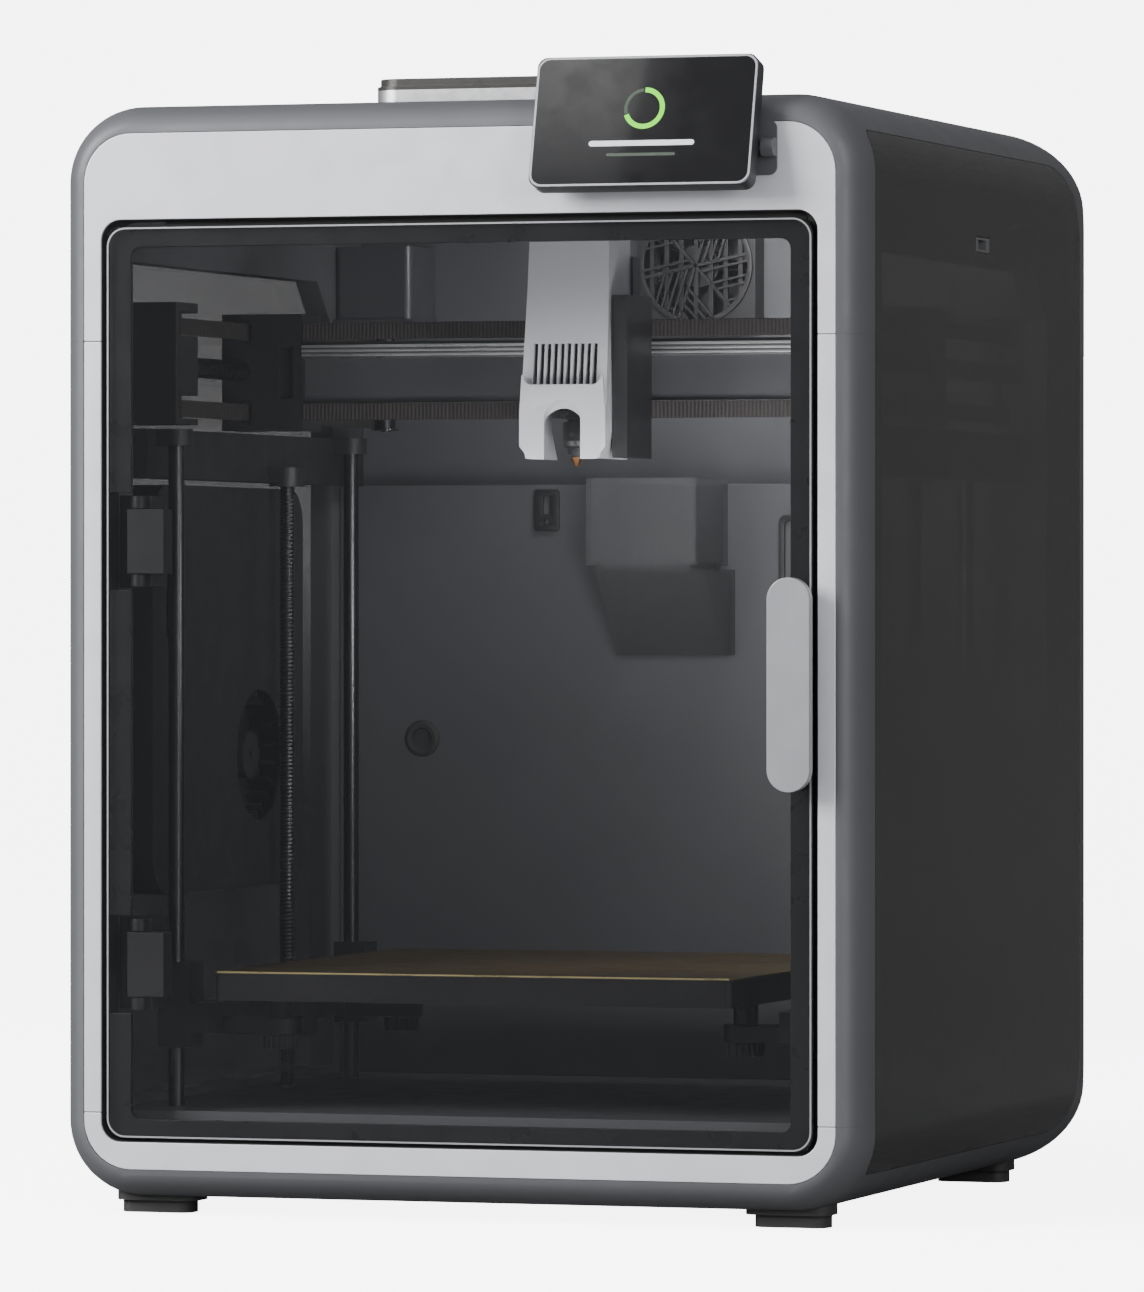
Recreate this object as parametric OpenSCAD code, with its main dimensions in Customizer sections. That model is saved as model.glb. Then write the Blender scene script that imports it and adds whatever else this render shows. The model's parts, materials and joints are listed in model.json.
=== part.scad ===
// Enclosed fused-filament printer: housing with a glass door and lid, belt-driven gantry and moving bed.
// Millimetres. +X is to the right, +Y is to the back, +Z is up. The origin is under the middle of the
// object's box, on the surface that it stands on. Places inside are given from the front face of the
// housing (Y = 0 there) and then moved back by front_y in one step.

/* [Housing] */
// Width of the housing
body_w = 404; // [380:1:500]
// Depth of the housing, front face to rear face
body_d = 413.5; // [400:0.5:520]
// Height of the housing, without its feet
body_h = 527; // [500:1:660]
// Radius of the four long corners, seen from the front
corner_r = 37; // [30:1:45]
// Radius of the rear edges at the top and the bottom
rear_r = 50; // [46:1:52]
// How far the front edges are rounded, sideways
front_round = 13.2; // [8:0.1:16]
// How far back the rounding of the front edges reaches
front_round_d = 21.7; // [12:0.1:28]
// Height of the lower casing, from its underside to its seam
base_h = 40.9; // [38:0.1:60]
// Height of the upper casing, from its seam to the top
top_h = 113.9; // [110:0.1:130]
// Thickness of the moulded casings
casing_t = 3; // [2:0.1:4]
// Width of the side walls, from the outside to the chamber
side_wall = 15; // [13:0.5:20]
// Thickness of the smoked side panels
panel_t = 3; // [2:0.1:4]
// Gap round a panel, lid or trim plate that is set into a casing
inset_gap = 0.2; // [0.1:0.05:0.5]
// Height of the feet
foot_h = 8.2; // [6:0.1:14]

/* [Front] */
// Width of the bright trim at the sides of the door opening
trim_side = 8.7; // [6:0.1:12]
// Width of the bright trim above the door opening
trim_top = 41.6; // [38:0.1:50]
// Width of the bright trim below the door opening
trim_bottom = 13.1; // [10:0.1:16]
// Thickness of the bright trim
trim_t = 1.5; // [1:0.1:2]
// Radius of the corners of the door opening
opening_r = 10; // [6:0.5:14]
// Gap at each side of the door
door_gap = 2.8; // [2.6:0.1:4]
// Gap under the door
door_gap_low = 2; // [1.5:0.1:3]
// Gap over the door
door_gap_high = 3.5; // [2:0.1:4]
// Thickness of the door glass
door_glass_t = 3.2; // [3:0.1:3.4]
// Width of the door's dark border
door_border_w = 11.5; // [10:0.5:11.5]
// Height of the door handle
handle_h = 100.6; // [80:0.1:120]
// Width of the door handle
handle_w = 21; // [16:0.5:23]

/* [Screen] */
// Width of the touch screen
screen_w = 109; // [90:1:120]
// Height of the touch screen
screen_h = 64; // [56:1:70]
// Thickness of the touch screen
screen_t = 10; // [9:0.5:11]
// Angle at which the touch screen leans back
screen_tilt = 14.65; // [10:0.05:18]
// Distance from the middle of the housing to the middle of the touch screen
screen_x = 99; // [70:1:110]

/* [Motion] */
// Diameter of the vertical guide rods
z_rod_d = 8; // [6:0.5:9]
// Diameter of the lead screws
screw_d = 8; // [6:0.5:9]
// Diameter of the front-to-back guide rods
y_rod_d = 10; // [8:0.5:10.5]
// Radial clearance of a sliding or turning fit
running_fit = 0.05; // [0.02:0.01:0.1]
// Height of the gantry's rods below the top of the housing
gantry_drop = 123.7; // [118:0.1:130]
// Width of the belts
belt_w = 8.4; // [6:0.1:8.4]
// Width of the tool head's cover
head_w = 44; // [44:0.5:50]
// Place of the tool head across the gantry, from the middle of the housing
head_x = 16.5; // [-40:0.5:40]
// Diameter of the tool head's cooling fan
head_fan_d = 33; // [26:0.5:34]

/* [Bed] */
// Width of the heated bed
bed_w = 262; // [220:1:262]
// Depth of the heated bed
bed_d = 276; // [230:1:276]
// Thickness of the heated bed
bed_t = 13.2; // [6:0.1:15]
// Height of the top of the bed over the ground
bed_z = 116; // [114:1:200]
// Thickness of the flexible build sheet
sheet_t = 1; // [0.6:0.1:1.2]
// Diameter of the levelling knobs
knob_d = 18; // [14:0.5:22]

/* [Hidden] */
$fn = 96;
eps = 0.01;
arc_steps = 9;

// Housing, with Y measured from its front face
half_w = body_w / 2;
z_low = foot_h;
z_top = foot_h + body_h;
seam_low = z_low + base_h;
seam_high = z_top - top_h;
y_rear = body_d - 8;
y_upper_wall = body_d - 15.5;
y_lower_wall = body_d - 52.5;
column_d = 43;
door_well = 24.5;
chamber_x = half_w - side_wall;
floor_z = seam_low;
lower_wall_top = seam_high - 65;
roof_z = z_top - 8.2;

// Touch screen and the whole object's depth
screen_low_y = 23;
screen_z = z_top - 13.2;
screen_mid_y = screen_low_y - screen_h / 2 * sin(screen_tilt);
front_y = (screen_low_y - body_d) / 2;

// Door
opening_x = half_w - front_round - trim_side;
opening_z0 = z_low + front_round + 0.6 + trim_bottom;
opening_z1 = z_top - front_round - 0.7 - trim_top;
door_x = opening_x - door_gap;
door_z0 = opening_z0 + door_gap_low;
door_z1 = opening_z1 - door_gap_high;
door_z = (door_z0 + door_z1) / 2;
border_t = 3.3;
hinge_x = -door_x + 14;
hinge_y = 8;
hinge_z_high = door_z + 68;
hinge_z_low = door_z - 136;
leaf_h = 31;
hinge_pin_r = 1.5;
eye_r = 4;
eye_h = 6;
hinge_clear = 0.4;
handle_z = door_z;
handle_x = door_x - handle_w / 2 + 2.9;

// Lid
lid_x = half_w - corner_r - 1;
lid_y0 = 32;
lid_y1 = body_d - rear_r - 0.5;
lid_t = 4;
lid_rim = 14;
lid_glass_t = 3;

// Motion
z_rod_r = z_rod_d / 2;
screw_r = screw_d / 2;
y_rod_r = y_rod_d / 2;
gantry_z = z_top - gantry_drop;
y_rod_x = chamber_x - 12;
z_rod_x = chamber_x - 22;
z_rod_y = [63, y_lower_wall - 43];
screw_y = y_lower_wall - 140;
z_rod_top = gantry_z - 31.5;
z_motor_half = 17.5;
base_corner_r = corner_r - 8;
z_motor_over = max(0, z_rod_x + z_motor_half - (half_w - corner_r));
z_motor_low = max(z_low + casing_t + 7, z_low + casing_t + base_corner_r + 0.5
  - sqrt(base_corner_r * base_corner_r - z_motor_over * z_motor_over));
beam_z0 = z_rod_top - 24;
carriage_x = [y_rod_x - 33, y_rod_x + 10];
carriage_y = [180, 208];
carriage_z = [gantry_z - 30, gantry_z + 28.5];
xy_motor = [chamber_x - 21, y_upper_wall - 23.2];
motor_w = 42;
belt_t = 1.4;
belt_low = gantry_z - 25;
belt_high = gantry_z + 15.4;
pulley_r = 5.2;
belt_x = xy_motor[0] + pulley_r + 0.1;
bracket_y = [43, 73];
beam_y = [184, 204];
beam_z = [gantry_z - 11.6, gantry_z + 14.5];
rail_z = [gantry_z + 6, gantry_z + 12.8];
rail_t = 6;

// Tool head
head_half = head_w / 2;
head_z0 = gantry_z - 46;
head_z1 = gantry_z + 62;
head_y0 = 115;
nozzle_y = 138;
nozzle_z = gantry_z - 49.5;
head_wall = 2;

// Bed
bed_x = bed_w / 2;
bed_y = [24, 24 + bed_d];
knob_x = bed_x - 12;
knob_y = [bed_y[0] + 62, bed_y[1] - 35];
bed_low = bed_z - bed_t;
knob_top = bed_low - 20.8;
stud_r = 2;
bushing_r = z_rod_r + 2;

// Fans
aux_y = 211;
aux_z = floor_z + 168.9;
aux_x = chamber_x;
aux_pin_r = 2;
exhaust_x = 3;
exhaust_z = seam_high + 48.7;
exhaust_r = 29;
slat_half_w = 20;
slat_pitch = 8;
slat_h = 3;
port_y = [202, 229];
port_z = [z_top - 67.7, z_top - 60];
head_fan_z = gantry_z - 0.5;

// ---- Shared shapes ----

// Block between two limits along each axis
module block(x, y, z) {
  translate([x[0], y[0], z[0]]) cube([x[1] - x[0], y[1] - y[0], z[1] - z[0]]);
}

// Rectangle with round corners, centred
module round_rect(w, h, r) {
  square([w - 2 * r, h], center = true);
  square([w, h - 2 * r], center = true);
  for (sx = [-1, 1], sy = [-1, 1]) translate([sx * (w / 2 - r), sy * (h / 2 - r)]) circle(r);
}

// Upright plate with round corners as seen from the front
module front_plate(x, y, z, r) {
  translate([(x[0] + x[1]) / 2, y[1], (z[0] + z[1]) / 2]) rotate([90, 0, 0])
    linear_extrude(y[1] - y[0]) round_rect(x[1] - x[0], z[1] - z[0], r);
}

// Upright plate with round corners as seen from the side
module side_plate(x, y, z, r) {
  translate([x[0], (y[0] + y[1]) / 2, (z[0] + z[1]) / 2]) rotate([90, 0, 90])
    linear_extrude(x[1] - x[0]) round_rect(y[1] - y[0], z[1] - z[0], r);
}

// Level plate with round corners
module level_plate(x, y, z, r) {
  translate([(x[0] + x[1]) / 2, (y[0] + y[1]) / 2, z[0]])
    linear_extrude(z[1] - z[0]) round_rect(x[1] - x[0], y[1] - y[0], r);
}

// Round bar along Y
module y_bar(x, z, y, r) {
  translate([x, y[0], z]) rotate([-90, 0, 0]) cylinder(r = r, h = y[1] - y[0]);
}

// Round bar along X
module x_bar(y, z, x, r) {
  translate([x[0], y, z]) rotate([0, 90, 0]) cylinder(r = r, h = x[1] - x[0]);
}

// Round bar along Z
module z_bar(x, y, z, r) {
  translate([x, y, z[0]]) cylinder(r = r, h = z[1] - z[0]);
}

// The same piece at the left and at the right
module both_sides() {
  children();
  mirror([1, 0, 0]) children();
}

// Moves a piece from the housing's front face to the object's own frame
module place() {
  translate([0, front_y, 0]) children();
}

// ---- Housing ----

// Inset of the rounded front edge at a depth behind the front face
function edge_inset(t) = front_round * (1 - sin(t));
function edge_depth(t) = front_round_d * (1 - cos(t));
function edge(half) = [for (i = [0 : arc_steps]) let (t = 90 * i / arc_steps)
  [half - edge_inset(t), edge_depth(t)]];

// Full outer form of the housing
module outer_form() {
  long = front_round_d + eps;
  intersection() {
    union() {
      front_plate([-half_w, half_w], [front_round_d, body_d], [z_low, z_top], corner_r);
      for (sx = [-1, 1], z = [z_low + corner_r, z_top - corner_r])
        translate([sx * (half_w - corner_r), 0, z]) rotate([-90, 0, 0]) rotate_extrude()
          polygon(concat([[0, 0]], edge(corner_r), [[corner_r, long], [0, long]]));
      translate([0, 0, z_low + corner_r]) linear_extrude(body_h - 2 * corner_r)
        both_sides() polygon(concat([[0, 0]], edge(half_w), [[half_w, long], [0, long]]));
      translate([corner_r - half_w, 0, (z_low + z_top) / 2]) rotate([90, 0, 90])
        linear_extrude(body_w - 2 * corner_r) for (s = [0, 1]) mirror([0, s])
          polygon([for (p = concat([[0, 0]], edge(body_h / 2), [[body_h / 2, long], [0, long]]))
            [p[1], p[0]]]);
    }
    side_plate([-half_w - 1, half_w + 1], [-2 * rear_r, body_d], [z_low, z_top], rear_r);
  }
}

// Space of the two side panels, grown by a gap
module panel_space(gap) {
  front = front_round_d + 0.2;
  difference() {
    intersection() {
      both_sides() block([chamber_x - 30, half_w + 1], [front - gap, y_rear - 0.5 + gap], [0, z_top]);
      union() {
        side_plate([-half_w - 1, half_w + 1], [front - gap, y_rear - 80],
          [z_low + 17.1 - gap, z_top - 17.2 + gap], 6);
        side_plate([-half_w - 1, half_w + 1], [front + 60, y_rear - 0.5 + gap],
          [z_low + 17.1 - gap, z_top - 17.2 + gap], 44);
      }
    }
    front_plate([panel_t - half_w, half_w - panel_t], [0, body_d],
      [z_low + panel_t, z_top - panel_t], corner_r - panel_t);
  }
}

// Space of the bright trim ring, grown by a gap at its outer edge
module trim_space(gap) {
  difference() {
    front_plate([front_round - half_w - gap, half_w - front_round + gap], [-eps, trim_t],
      [z_low + front_round + 0.6 - gap, z_top - front_round - 0.7 + gap], corner_r - front_round);
    door_opening();
  }
}

// Opening in the front for the door
module door_opening() {
  front_plate([-opening_x, opening_x], [-1, column_d], [opening_z0, opening_z1], opening_r);
}

// Outer form between two heights, with the recesses for panels and trim
module casing(z, y) {
  difference() {
    intersection() {
      outer_form();
      block([-half_w - 1, half_w + 1], y, z);
    }
    panel_space(inset_gap);
    trim_space(inset_gap);
  }
}

// Windows in the side walls; the upper rear corner is cut off at an angle
module side_windows() {
  both_sides() translate([chamber_x - 1, 0, 0]) rotate([90, 0, 90]) linear_extrude(side_wall)
    polygon([[column_d, floor_z + 3.9], [y_lower_wall - 11, floor_z + 3.9],
      [y_lower_wall - 11, seam_high + 16.7], [y_lower_wall - 34, z_top - 73.2],
      [column_d, z_top - 73.2]]);
}

// Lower casing with the floor of the machine
module base_housing() {
  color("#6b6e73") difference() {
    casing([z_low, seam_low], [-1, body_d + 1]);
    intersection() {
      front_plate([8 - half_w, half_w - 8], [door_well + casing_t, body_d],
        [z_low + casing_t, seam_low + 60], base_corner_r);
      side_plate([-half_w, half_w], [-rear_r, y_rear], [z_low, z_top], rear_r - 6);
    }
    front_plate([-opening_x, opening_x], [-1, door_well], [opening_z0, seam_low + 60], opening_r);
    for (x = [-3 : 3]) block([x * 22 - 4, x * 22 + 4], [150, 190], [z_low - 1, z_low + casing_t + 1]);
  }
  color("#6b6e73") both_sides() for (y = [60, y_lower_wall - 11])
    z_bar(half_w - 62, y, [z_low + casing_t - 1, floor_z - 3], 5);
}

// Side wall between the seams: front column, lower rail and rear post round the window
module side_frame() {
  difference() {
    intersection() {
      casing([seam_low, seam_high], [-1, y_rear]);
      block([-half_w - 1, 0], [-1, body_d], [0, z_top]);
    }
    block([-opening_x, 1], [-1, column_d + eps], [0, z_top]);
    block([-chamber_x, 1], [column_d, body_d], [0, z_top]);
    side_windows();
  }
}

module left_frame() {
  color("#6b6e73") side_frame();
}

module right_frame() {
  color("#6b6e73") mirror([1, 0, 0]) side_frame();
}

// Upper casing: front wall, roof with the lid opening and rear wall
module top_housing() {
  color("#6b6e73") difference() {
    casing([seam_high, z_top], [-1, body_d + 1]);
    door_opening();
    block([-opening_x, opening_x], [18, column_d + eps], [seam_high - 1, roof_z]);
    intersection() {
      block([-chamber_x, chamber_x], [column_d, y_upper_wall], [seam_high - 1, roof_z]);
      side_plate([-half_w, half_w], [-rear_r, y_upper_wall], [z_low, roof_z], rear_r - 30);
    }
    block([8 - half_w, half_w - 8], [y_upper_wall + casing_t, body_d - casing_t],
      [seam_high - 1, z_top - 42]);
    level_plate([-lid_x - inset_gap, lid_x + inset_gap], [lid_y0 - inset_gap, lid_y1 + inset_gap],
      [z_top - lid_t, z_top + 1], 12);
    level_plate([8 - lid_x, lid_x - 8], [lid_y0 + 12, lid_y1 - 12], [roof_z - 1, z_top], 8);
    side_windows();
    y_bar(exhaust_x, exhaust_z, [y_upper_wall - 1, body_d - casing_t], exhaust_r - 1);
    for (i = [-2 : 2]) block([exhaust_x - slat_half_w, exhaust_x + slat_half_w],
      [body_d - casing_t - 1, body_d + 1],
      [exhaust_z + i * slat_pitch - slat_h / 2, exhaust_z + i * slat_pitch + slat_h / 2]);
    block([half_w - side_wall - 1, half_w + 1], port_y, port_z);
  }
}

// Cover of the electronics bay at the back
module rear_cover() {
  color("#3a3c40") difference() {
    intersection() {
      outer_form();
      block([-half_w - 1, half_w + 1], [y_rear, body_d + 1], [seam_low, seam_high]);
    }
    block([12 - half_w, half_w - 12], [y_rear - 1, body_d - 3], [seam_low + 10, seam_high - 10]);
    for (i = [0 : 11], s = [-1, 1])
      block([s * 95 - 40, s * 95 + 40], [body_d - 4, body_d + 1],
        [seam_high - 150 + i * 9, seam_high - 146 + i * 9]);
    block(inlet_x, [y_rear - 1, body_d + 1], [inlet_z[0], switch_z[1]]);
  }
}

// Plate under the chamber, with passages for the screws
module chamber_floor() {
  color("#1c1d1f") difference() {
    block([8.2 - half_w, half_w - 8.2], [door_well + casing_t + 0.2, y_rear - 1],
      [floor_z - 3, floor_z]);
    both_sides() {
      z_bar(z_rod_x, screw_y, [0, z_top], screw_r + 1);
      for (y = z_rod_y) z_bar(z_rod_x, y, [0, z_top], z_rod_r);
    }
  }
}

// Back wall of the chamber, stepped over the electronics bay
module chamber_back_panel() {
  color("#26282b") difference() {
    union() {
      block([0.5 - chamber_x, chamber_x - 0.5], [y_lower_wall, y_lower_wall + 2], [floor_z, lower_wall_top]);
      block([0.5 - chamber_x, chamber_x - 0.5], [y_lower_wall, y_upper_wall - 0.2],
        [lower_wall_top - 2, lower_wall_top]);
      block([0.5 - chamber_x, chamber_x - 0.5], [y_upper_wall - 2.2, y_upper_wall - 0.2],
        [lower_wall_top - 2, z_top - 30]);
    }
    y_bar(exhaust_x, exhaust_z, [y_upper_wall - 3, body_d], exhaust_r - 1);
    y_bar(21 - half_w + 40, floor_z + 175, [y_lower_wall - 1, y_lower_wall + 3], 8);
    for (i = [0 : 13])
      block([60, 96], [y_lower_wall - 1, y_lower_wall + 3], [floor_z + 180 + i * 8, floor_z + 184 + i * 8]);
  }
}

// Bright trim round the door opening: upper arch, two strips and lower sill
module front_trim() {
  color("#d3d4d8") for (z = [[0, seam_low], [seam_low + 0.3, seam_high - 0.3], [seam_high, z_top]])
    intersection() {
      trim_space(0);
      block([-half_w, half_w], [0, trim_t], z);
    }
}

module side_panel() {
  intersection() {
    outer_form();
    panel_space(0);
    block([-half_w, 0], [0, body_d], [0, z_top]);
  }
}

module left_side_panel() {
  color("#303236") side_panel();
}

// Right panel, with the slot of the data port
module right_side_panel() {
  color("#303236") difference() {
    mirror([1, 0, 0]) side_panel();
    block([half_w - panel_t - 1, half_w + 1], port_y, port_z);
  }
}

// Beams along both sides that hold the tops of the vertical rods and screws
module side_beams() {
  color("#17181a") both_sides() difference() {
    union() {
      block([chamber_x - 14.5, chamber_x], [column_d, y_lower_wall - 3], [beam_z0, z_rod_top]);
      for (y = z_rod_y) {
        block([z_rod_x, chamber_x - 10], [y - 8, y + 8], [z_rod_top - 8, z_rod_top]);
        z_bar(z_rod_x, y, [z_rod_top - 8, z_rod_top], 8);
      }
      block([z_rod_x, chamber_x - 10], [screw_y - 9, screw_y + 9], [beam_z0, beam_z0 + 7.5]);
      z_bar(z_rod_x, screw_y, [beam_z0 - 2, beam_z0 + 7.5], 9);
    }
    z_bar(z_rod_x, screw_y, [0, beam_z0 + 6], screw_r + running_fit);
    for (y = z_rod_y) z_bar(z_rod_x, y, [0, z_top], z_rod_r);
  }
}

// Rubber feet under the corners
module rubber_feet() {
  color("#151515") difference() {
    both_sides() for (y = [[20, 37], [y_lower_wall - 18, y_lower_wall - 1]]) {
      level_plate([half_w - 60, half_w - 24], y, [0, foot_h - 2], 6);
      level_plate([half_w - 64, half_w - 22], [y[0] - 3, y[1] + 3], [foot_h - 2.2, foot_h + 4], 7);
    }
    outer_form();
  }
}

// ---- Fixed parts of the motion system ----

module z_guide_rods() {
  color("#b9bcc0") both_sides() for (y = z_rod_y) z_bar(z_rod_x, y, [floor_z - 3, z_rod_top], z_rod_r);
}

module y_guide_rods() {
  color("#b9bcc0") both_sides() y_bar(y_rod_x, gantry_z, [bracket_y[0] + 2, y_upper_wall - 3], y_rod_r);
}

// Two motors under the chamber floor, one for each lead screw
module z_motors() {
  color("#202124") both_sides() difference() {
    level_plate([z_rod_x - z_motor_half, z_rod_x + z_motor_half],
      [screw_y - z_motor_half, screw_y + z_motor_half], [z_motor_low, floor_z - 3], 4);
    z_bar(z_rod_x, screw_y, [floor_z - 22, floor_z], screw_r + running_fit);
  }
}

// Two belt motors in the upper rear corners, each with its mounting plate
module xy_motors() {
  m = motor_w / 2;
  color("#1a1b1d") both_sides() difference() {
    union() {
      level_plate([xy_motor[0] - m, xy_motor[0] + m], [xy_motor[1] - m, xy_motor[1] + m],
        [gantry_z + 31.5, gantry_z + 69.5], 4);
      block([xy_motor[0] - m - 2, chamber_x], [xy_motor[1] - m - 2, y_upper_wall - 2.2],
        [gantry_z + 29, gantry_z + 31.5]);
      block([y_rod_x - 3, chamber_x], [y_upper_wall - 12, y_upper_wall - 2.2],
        [gantry_z - 14, gantry_z + 29]);
    }
    z_bar(xy_motor[0], xy_motor[1], [gantry_z, gantry_z + 40], 2.5 + running_fit);
    y_bar(y_rod_x, gantry_z, [0, y_upper_wall - 3], y_rod_r);
  }
}

// Full-length runs of the two drive belts along the sides, one above the other
module y_belts() {
  color("#3b3734") both_sides() for (z = [belt_low, belt_high])
    block([belt_x, belt_x + belt_t], [bracket_y[0] + 12, xy_motor[1] + 2], [z, z + belt_w]);
}

// Front corner brackets that hold the gantry's rods and the idler wheels
module belt_brackets() {
  color("#17181a") both_sides() {
    difference() {
      block([xy_motor[0] - 8.5, chamber_x], bracket_y, [gantry_z - 29.5, gantry_z + 30]);
      for (z = [belt_low, belt_high])
        block([xy_motor[0] - 12, belt_x + belt_t + 1], [bracket_y[0] + 4, bracket_y[1] + 1],
          [z - 1.5, z + belt_w + 1.5]);
      y_bar(y_rod_x, gantry_z, [bracket_y[0] + 2, bracket_y[1] + 1], y_rod_r);
    }
    for (z = [belt_low, belt_high])
      z_bar(xy_motor[0], bracket_y[0] + 15, [z - 1.5, z + belt_w + 1.5], pulley_r);
  }
}

// ---- Air and waste ----

// Scroll housing of the side fan, on the left wall
module aux_fan_housing() {
  y = [60, 275];
  z = [aux_z - 66, aux_z + 135];
  x0 = panel_t - half_w;
  x1 = 11 - aux_x;
  color("#101113") difference() {
    side_plate([x0, x1], y, z, 18);
    difference() {
      union() {
        side_plate([x0 + 2, x1 - 2], [aux_y - 52, aux_y + 52], [aux_z - 52, aux_z + 52], 50);
        x_bar(aux_y, aux_z, [x1 - 3, x1 + 1], 33);
      }
      x_bar(aux_y, aux_z, [x0, x1 - 6], aux_pin_r);
    }
    side_plate([x0 + 2, x1 - 2], [y[0] + 14, aux_y + 20], [aux_z + 20, z[1] - 12], 12);
    block([x1 - 3, x1 + 1], [y[0] + 18, y[0] + 40], [aux_z + 60, z[1] - 16]);
  }
}

// Wheel of the side fan
module aux_fan_rotor() {
  color("#1d1e20") translate([panel_t - half_w + 5, aux_y, aux_z]) rotate([0, 90, 0])
    fan_wheel(46, 30, 13, 22, 12, aux_pin_r + running_fit);
}

// Wheel with a bored hub, a disc and upright blades round its rim
module fan_wheel(r, blade_r, h, blades, hub, bore) {
  difference() {
    union() {
      cylinder(r = r, h = 1.5);
      cylinder(r = hub, h = h);
      for (i = [0 : blades - 1]) rotate(i * 360 / blades) translate([blade_r, -0.8, 0])
        cube([r - blade_r - 0.6, 1.6, h]);
    }
    translate([0, 0, -1]) cylinder(r = bore, h = h + 2);
  }
}

// Frame of the exhaust fan, with a barred grille on the chamber side
module exhaust_fan_housing() {
  s = exhaust_r + 3;
  color("#1a1b1d") difference() {
    front_plate([exhaust_x - s, exhaust_x + s], [y_upper_wall - 18.2, y_upper_wall - 2.2],
      [exhaust_z - s, exhaust_z + s], 6);
    difference() {
      y_bar(exhaust_x, exhaust_z, [y_upper_wall - 19, y_upper_wall - 1], exhaust_r);
      for (i = [-3 : 3]) block([exhaust_x + i * 8 - 1.2, exhaust_x + i * 8 + 1.2],
        [y_upper_wall - 18.2, y_upper_wall - 16.2], [exhaust_z - s, exhaust_z + s]);
      block([exhaust_x - 4, exhaust_x + 4], [y_upper_wall - 4.2, y_upper_wall - 2.2],
        [exhaust_z - s, exhaust_z + s]);
      y_bar(exhaust_x, exhaust_z, [y_upper_wall - 15, y_upper_wall - 2.2], 2);
    }
  }
}

// Axial wheel: a hub ring with flat blades, bored for its pin
module axial_wheel(r, h, blades, bore) {
  difference() {
    union() {
      cylinder(r = r * 0.4, h = h);
      for (i = [0 : blades - 1]) rotate(i * 360 / blades) translate([r * 0.3, 0, h / 2])
        rotate([38, 0, 0]) translate([0, -0.7, -h * 0.42]) cube([r * 0.66, 1.4, h * 0.84]);
    }
    translate([0, 0, -1]) cylinder(r = bore, h = h + 2);
  }
}

module exhaust_fan_rotor() {
  color("#222326") translate([exhaust_x, y_upper_wall - 14.5, exhaust_z]) rotate([-90, 0, 0])
    axial_wheel(exhaust_r - 1, 9, 7, 2 + running_fit);
}

// Chute behind the bed: clear upper box over a dark slanting bin
module purge_chute() {
  x = [-33, 26];
  top = gantry_z - 52.5;
  y = [y_lower_wall - 56, y_lower_wall];
  color("#3c3f43") difference() {
    union() {
      block(x, y, [top - 45, top]);
      translate([x[0] + 4, 0, 0]) rotate([90, 0, 90]) linear_extrude(x[1] - x[0])
        polygon([[y[0], top - 47], [y[1], top - 47], [y[1], top - 91], [y[1] - 16, top - 91]]);
      block([x[0] + 4, x[1] - 4], [y[0] + 4, y[1]], [top - 48, top - 44]);
    }
    block([x[0] + 2, x[1] - 2], [y[0] + 2, y[1] - 2], [top - 43, top + 1]);
    translate([x[0] + 6, 0, 0]) rotate([90, 0, 90]) linear_extrude(x[1] - x[0] - 4)
      polygon([[y[0] + 3, top - 49], [y[1] - 2, top - 49], [y[1] - 2, top - 92], [y[1] - 14, top - 92]]);
    block([x[0] + 6, x[1] - 6], [y[0] + 6, y[1] - 2], [top - 50, top - 42]);
  }
}

// ---- Electronics ----

inlet_x = [half_w - 82, half_w - 52];
inlet_z = [seam_low + 24, seam_low + 48];
switch_z = [seam_low + 50, seam_low + 70];
switch_mid = seam_low + 60;

module mainboard() {
  y = y_lower_wall + 8;
  z = floor_z + 60;
  color("#1f4d33") {
    block([-150, -20], [y, y + 1.6], [z, z + 190]);
    for (i = [0 : 4]) block([-142 + i * 25, -124 + i * 25], [y + 1, y + 9], [z + 130, z + 148]);
    for (i = [0 : 5]) block([-146 + i * 21, -132 + i * 21], [y + 1, y + 10], [z + 4, z + 14]);
    block([-108, -76], [y + 1, y + 5], [z + 60, z + 92]);
  }
  color("#8a8c90") for (x = [-144, -26], dz = [24, 178])
    y_bar(x, z + dz, [y_lower_wall + 2, y + 1], 3);
}

module power_supply() {
  y = [y_lower_wall + 2, y_lower_wall + 32];
  color("#a9abae") difference() {
    block([30, 145], y, [floor_z + 90, floor_z + 300]);
    for (i = [0 : 9])
      block([44, 131], [y[1] - 1, y[1] + 1], [floor_z + 110 + i * 18, floor_z + 116 + i * 18]);
  }
}

// Power inlet with three blades and the well of the power switch, clipped into the rear cover
module power_inlet() {
  m = [(inlet_x[0] + inlet_x[1]) / 2, (inlet_z[0] + inlet_z[1]) / 2];
  color("#101010") difference() {
    union() {
      block([inlet_x[0] + inset_gap, inlet_x[1] - inset_gap], [y_rear - 14, body_d - 0.5],
        [inlet_z[0] + inset_gap, switch_z[1] - inset_gap]);
      block([inlet_x[0] - 2, inlet_x[1] + 2], [body_d - 5, body_d - 3], [inlet_z[0] - 2, switch_z[1] + 2]);
    }
    front_plate([m[0] - 12.5, m[0] + 12.5], [y_rear - 10, body_d + 1], [m[1] - 8.5, m[1] + 8.5], 3);
    block([m[0] - 6.4, m[0] + 6.4], [y_rear - 4, body_d + 1], [switch_mid - 8, switch_mid + 8]);
  }
  color("#c9b27a") for (p = [[-7, 2], [0, -2], [7, 2]])
    block([m[0] + p[0] - 1, m[0] + p[0] + 1], [y_rear - 11, body_d - 4], [m[1] + p[1] - 2, m[1] + p[1] + 2]);
  color("#101010") x_bar(body_d - 5, switch_mid, [m[0] - 7, m[0] + 7], 1);
}

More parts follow.
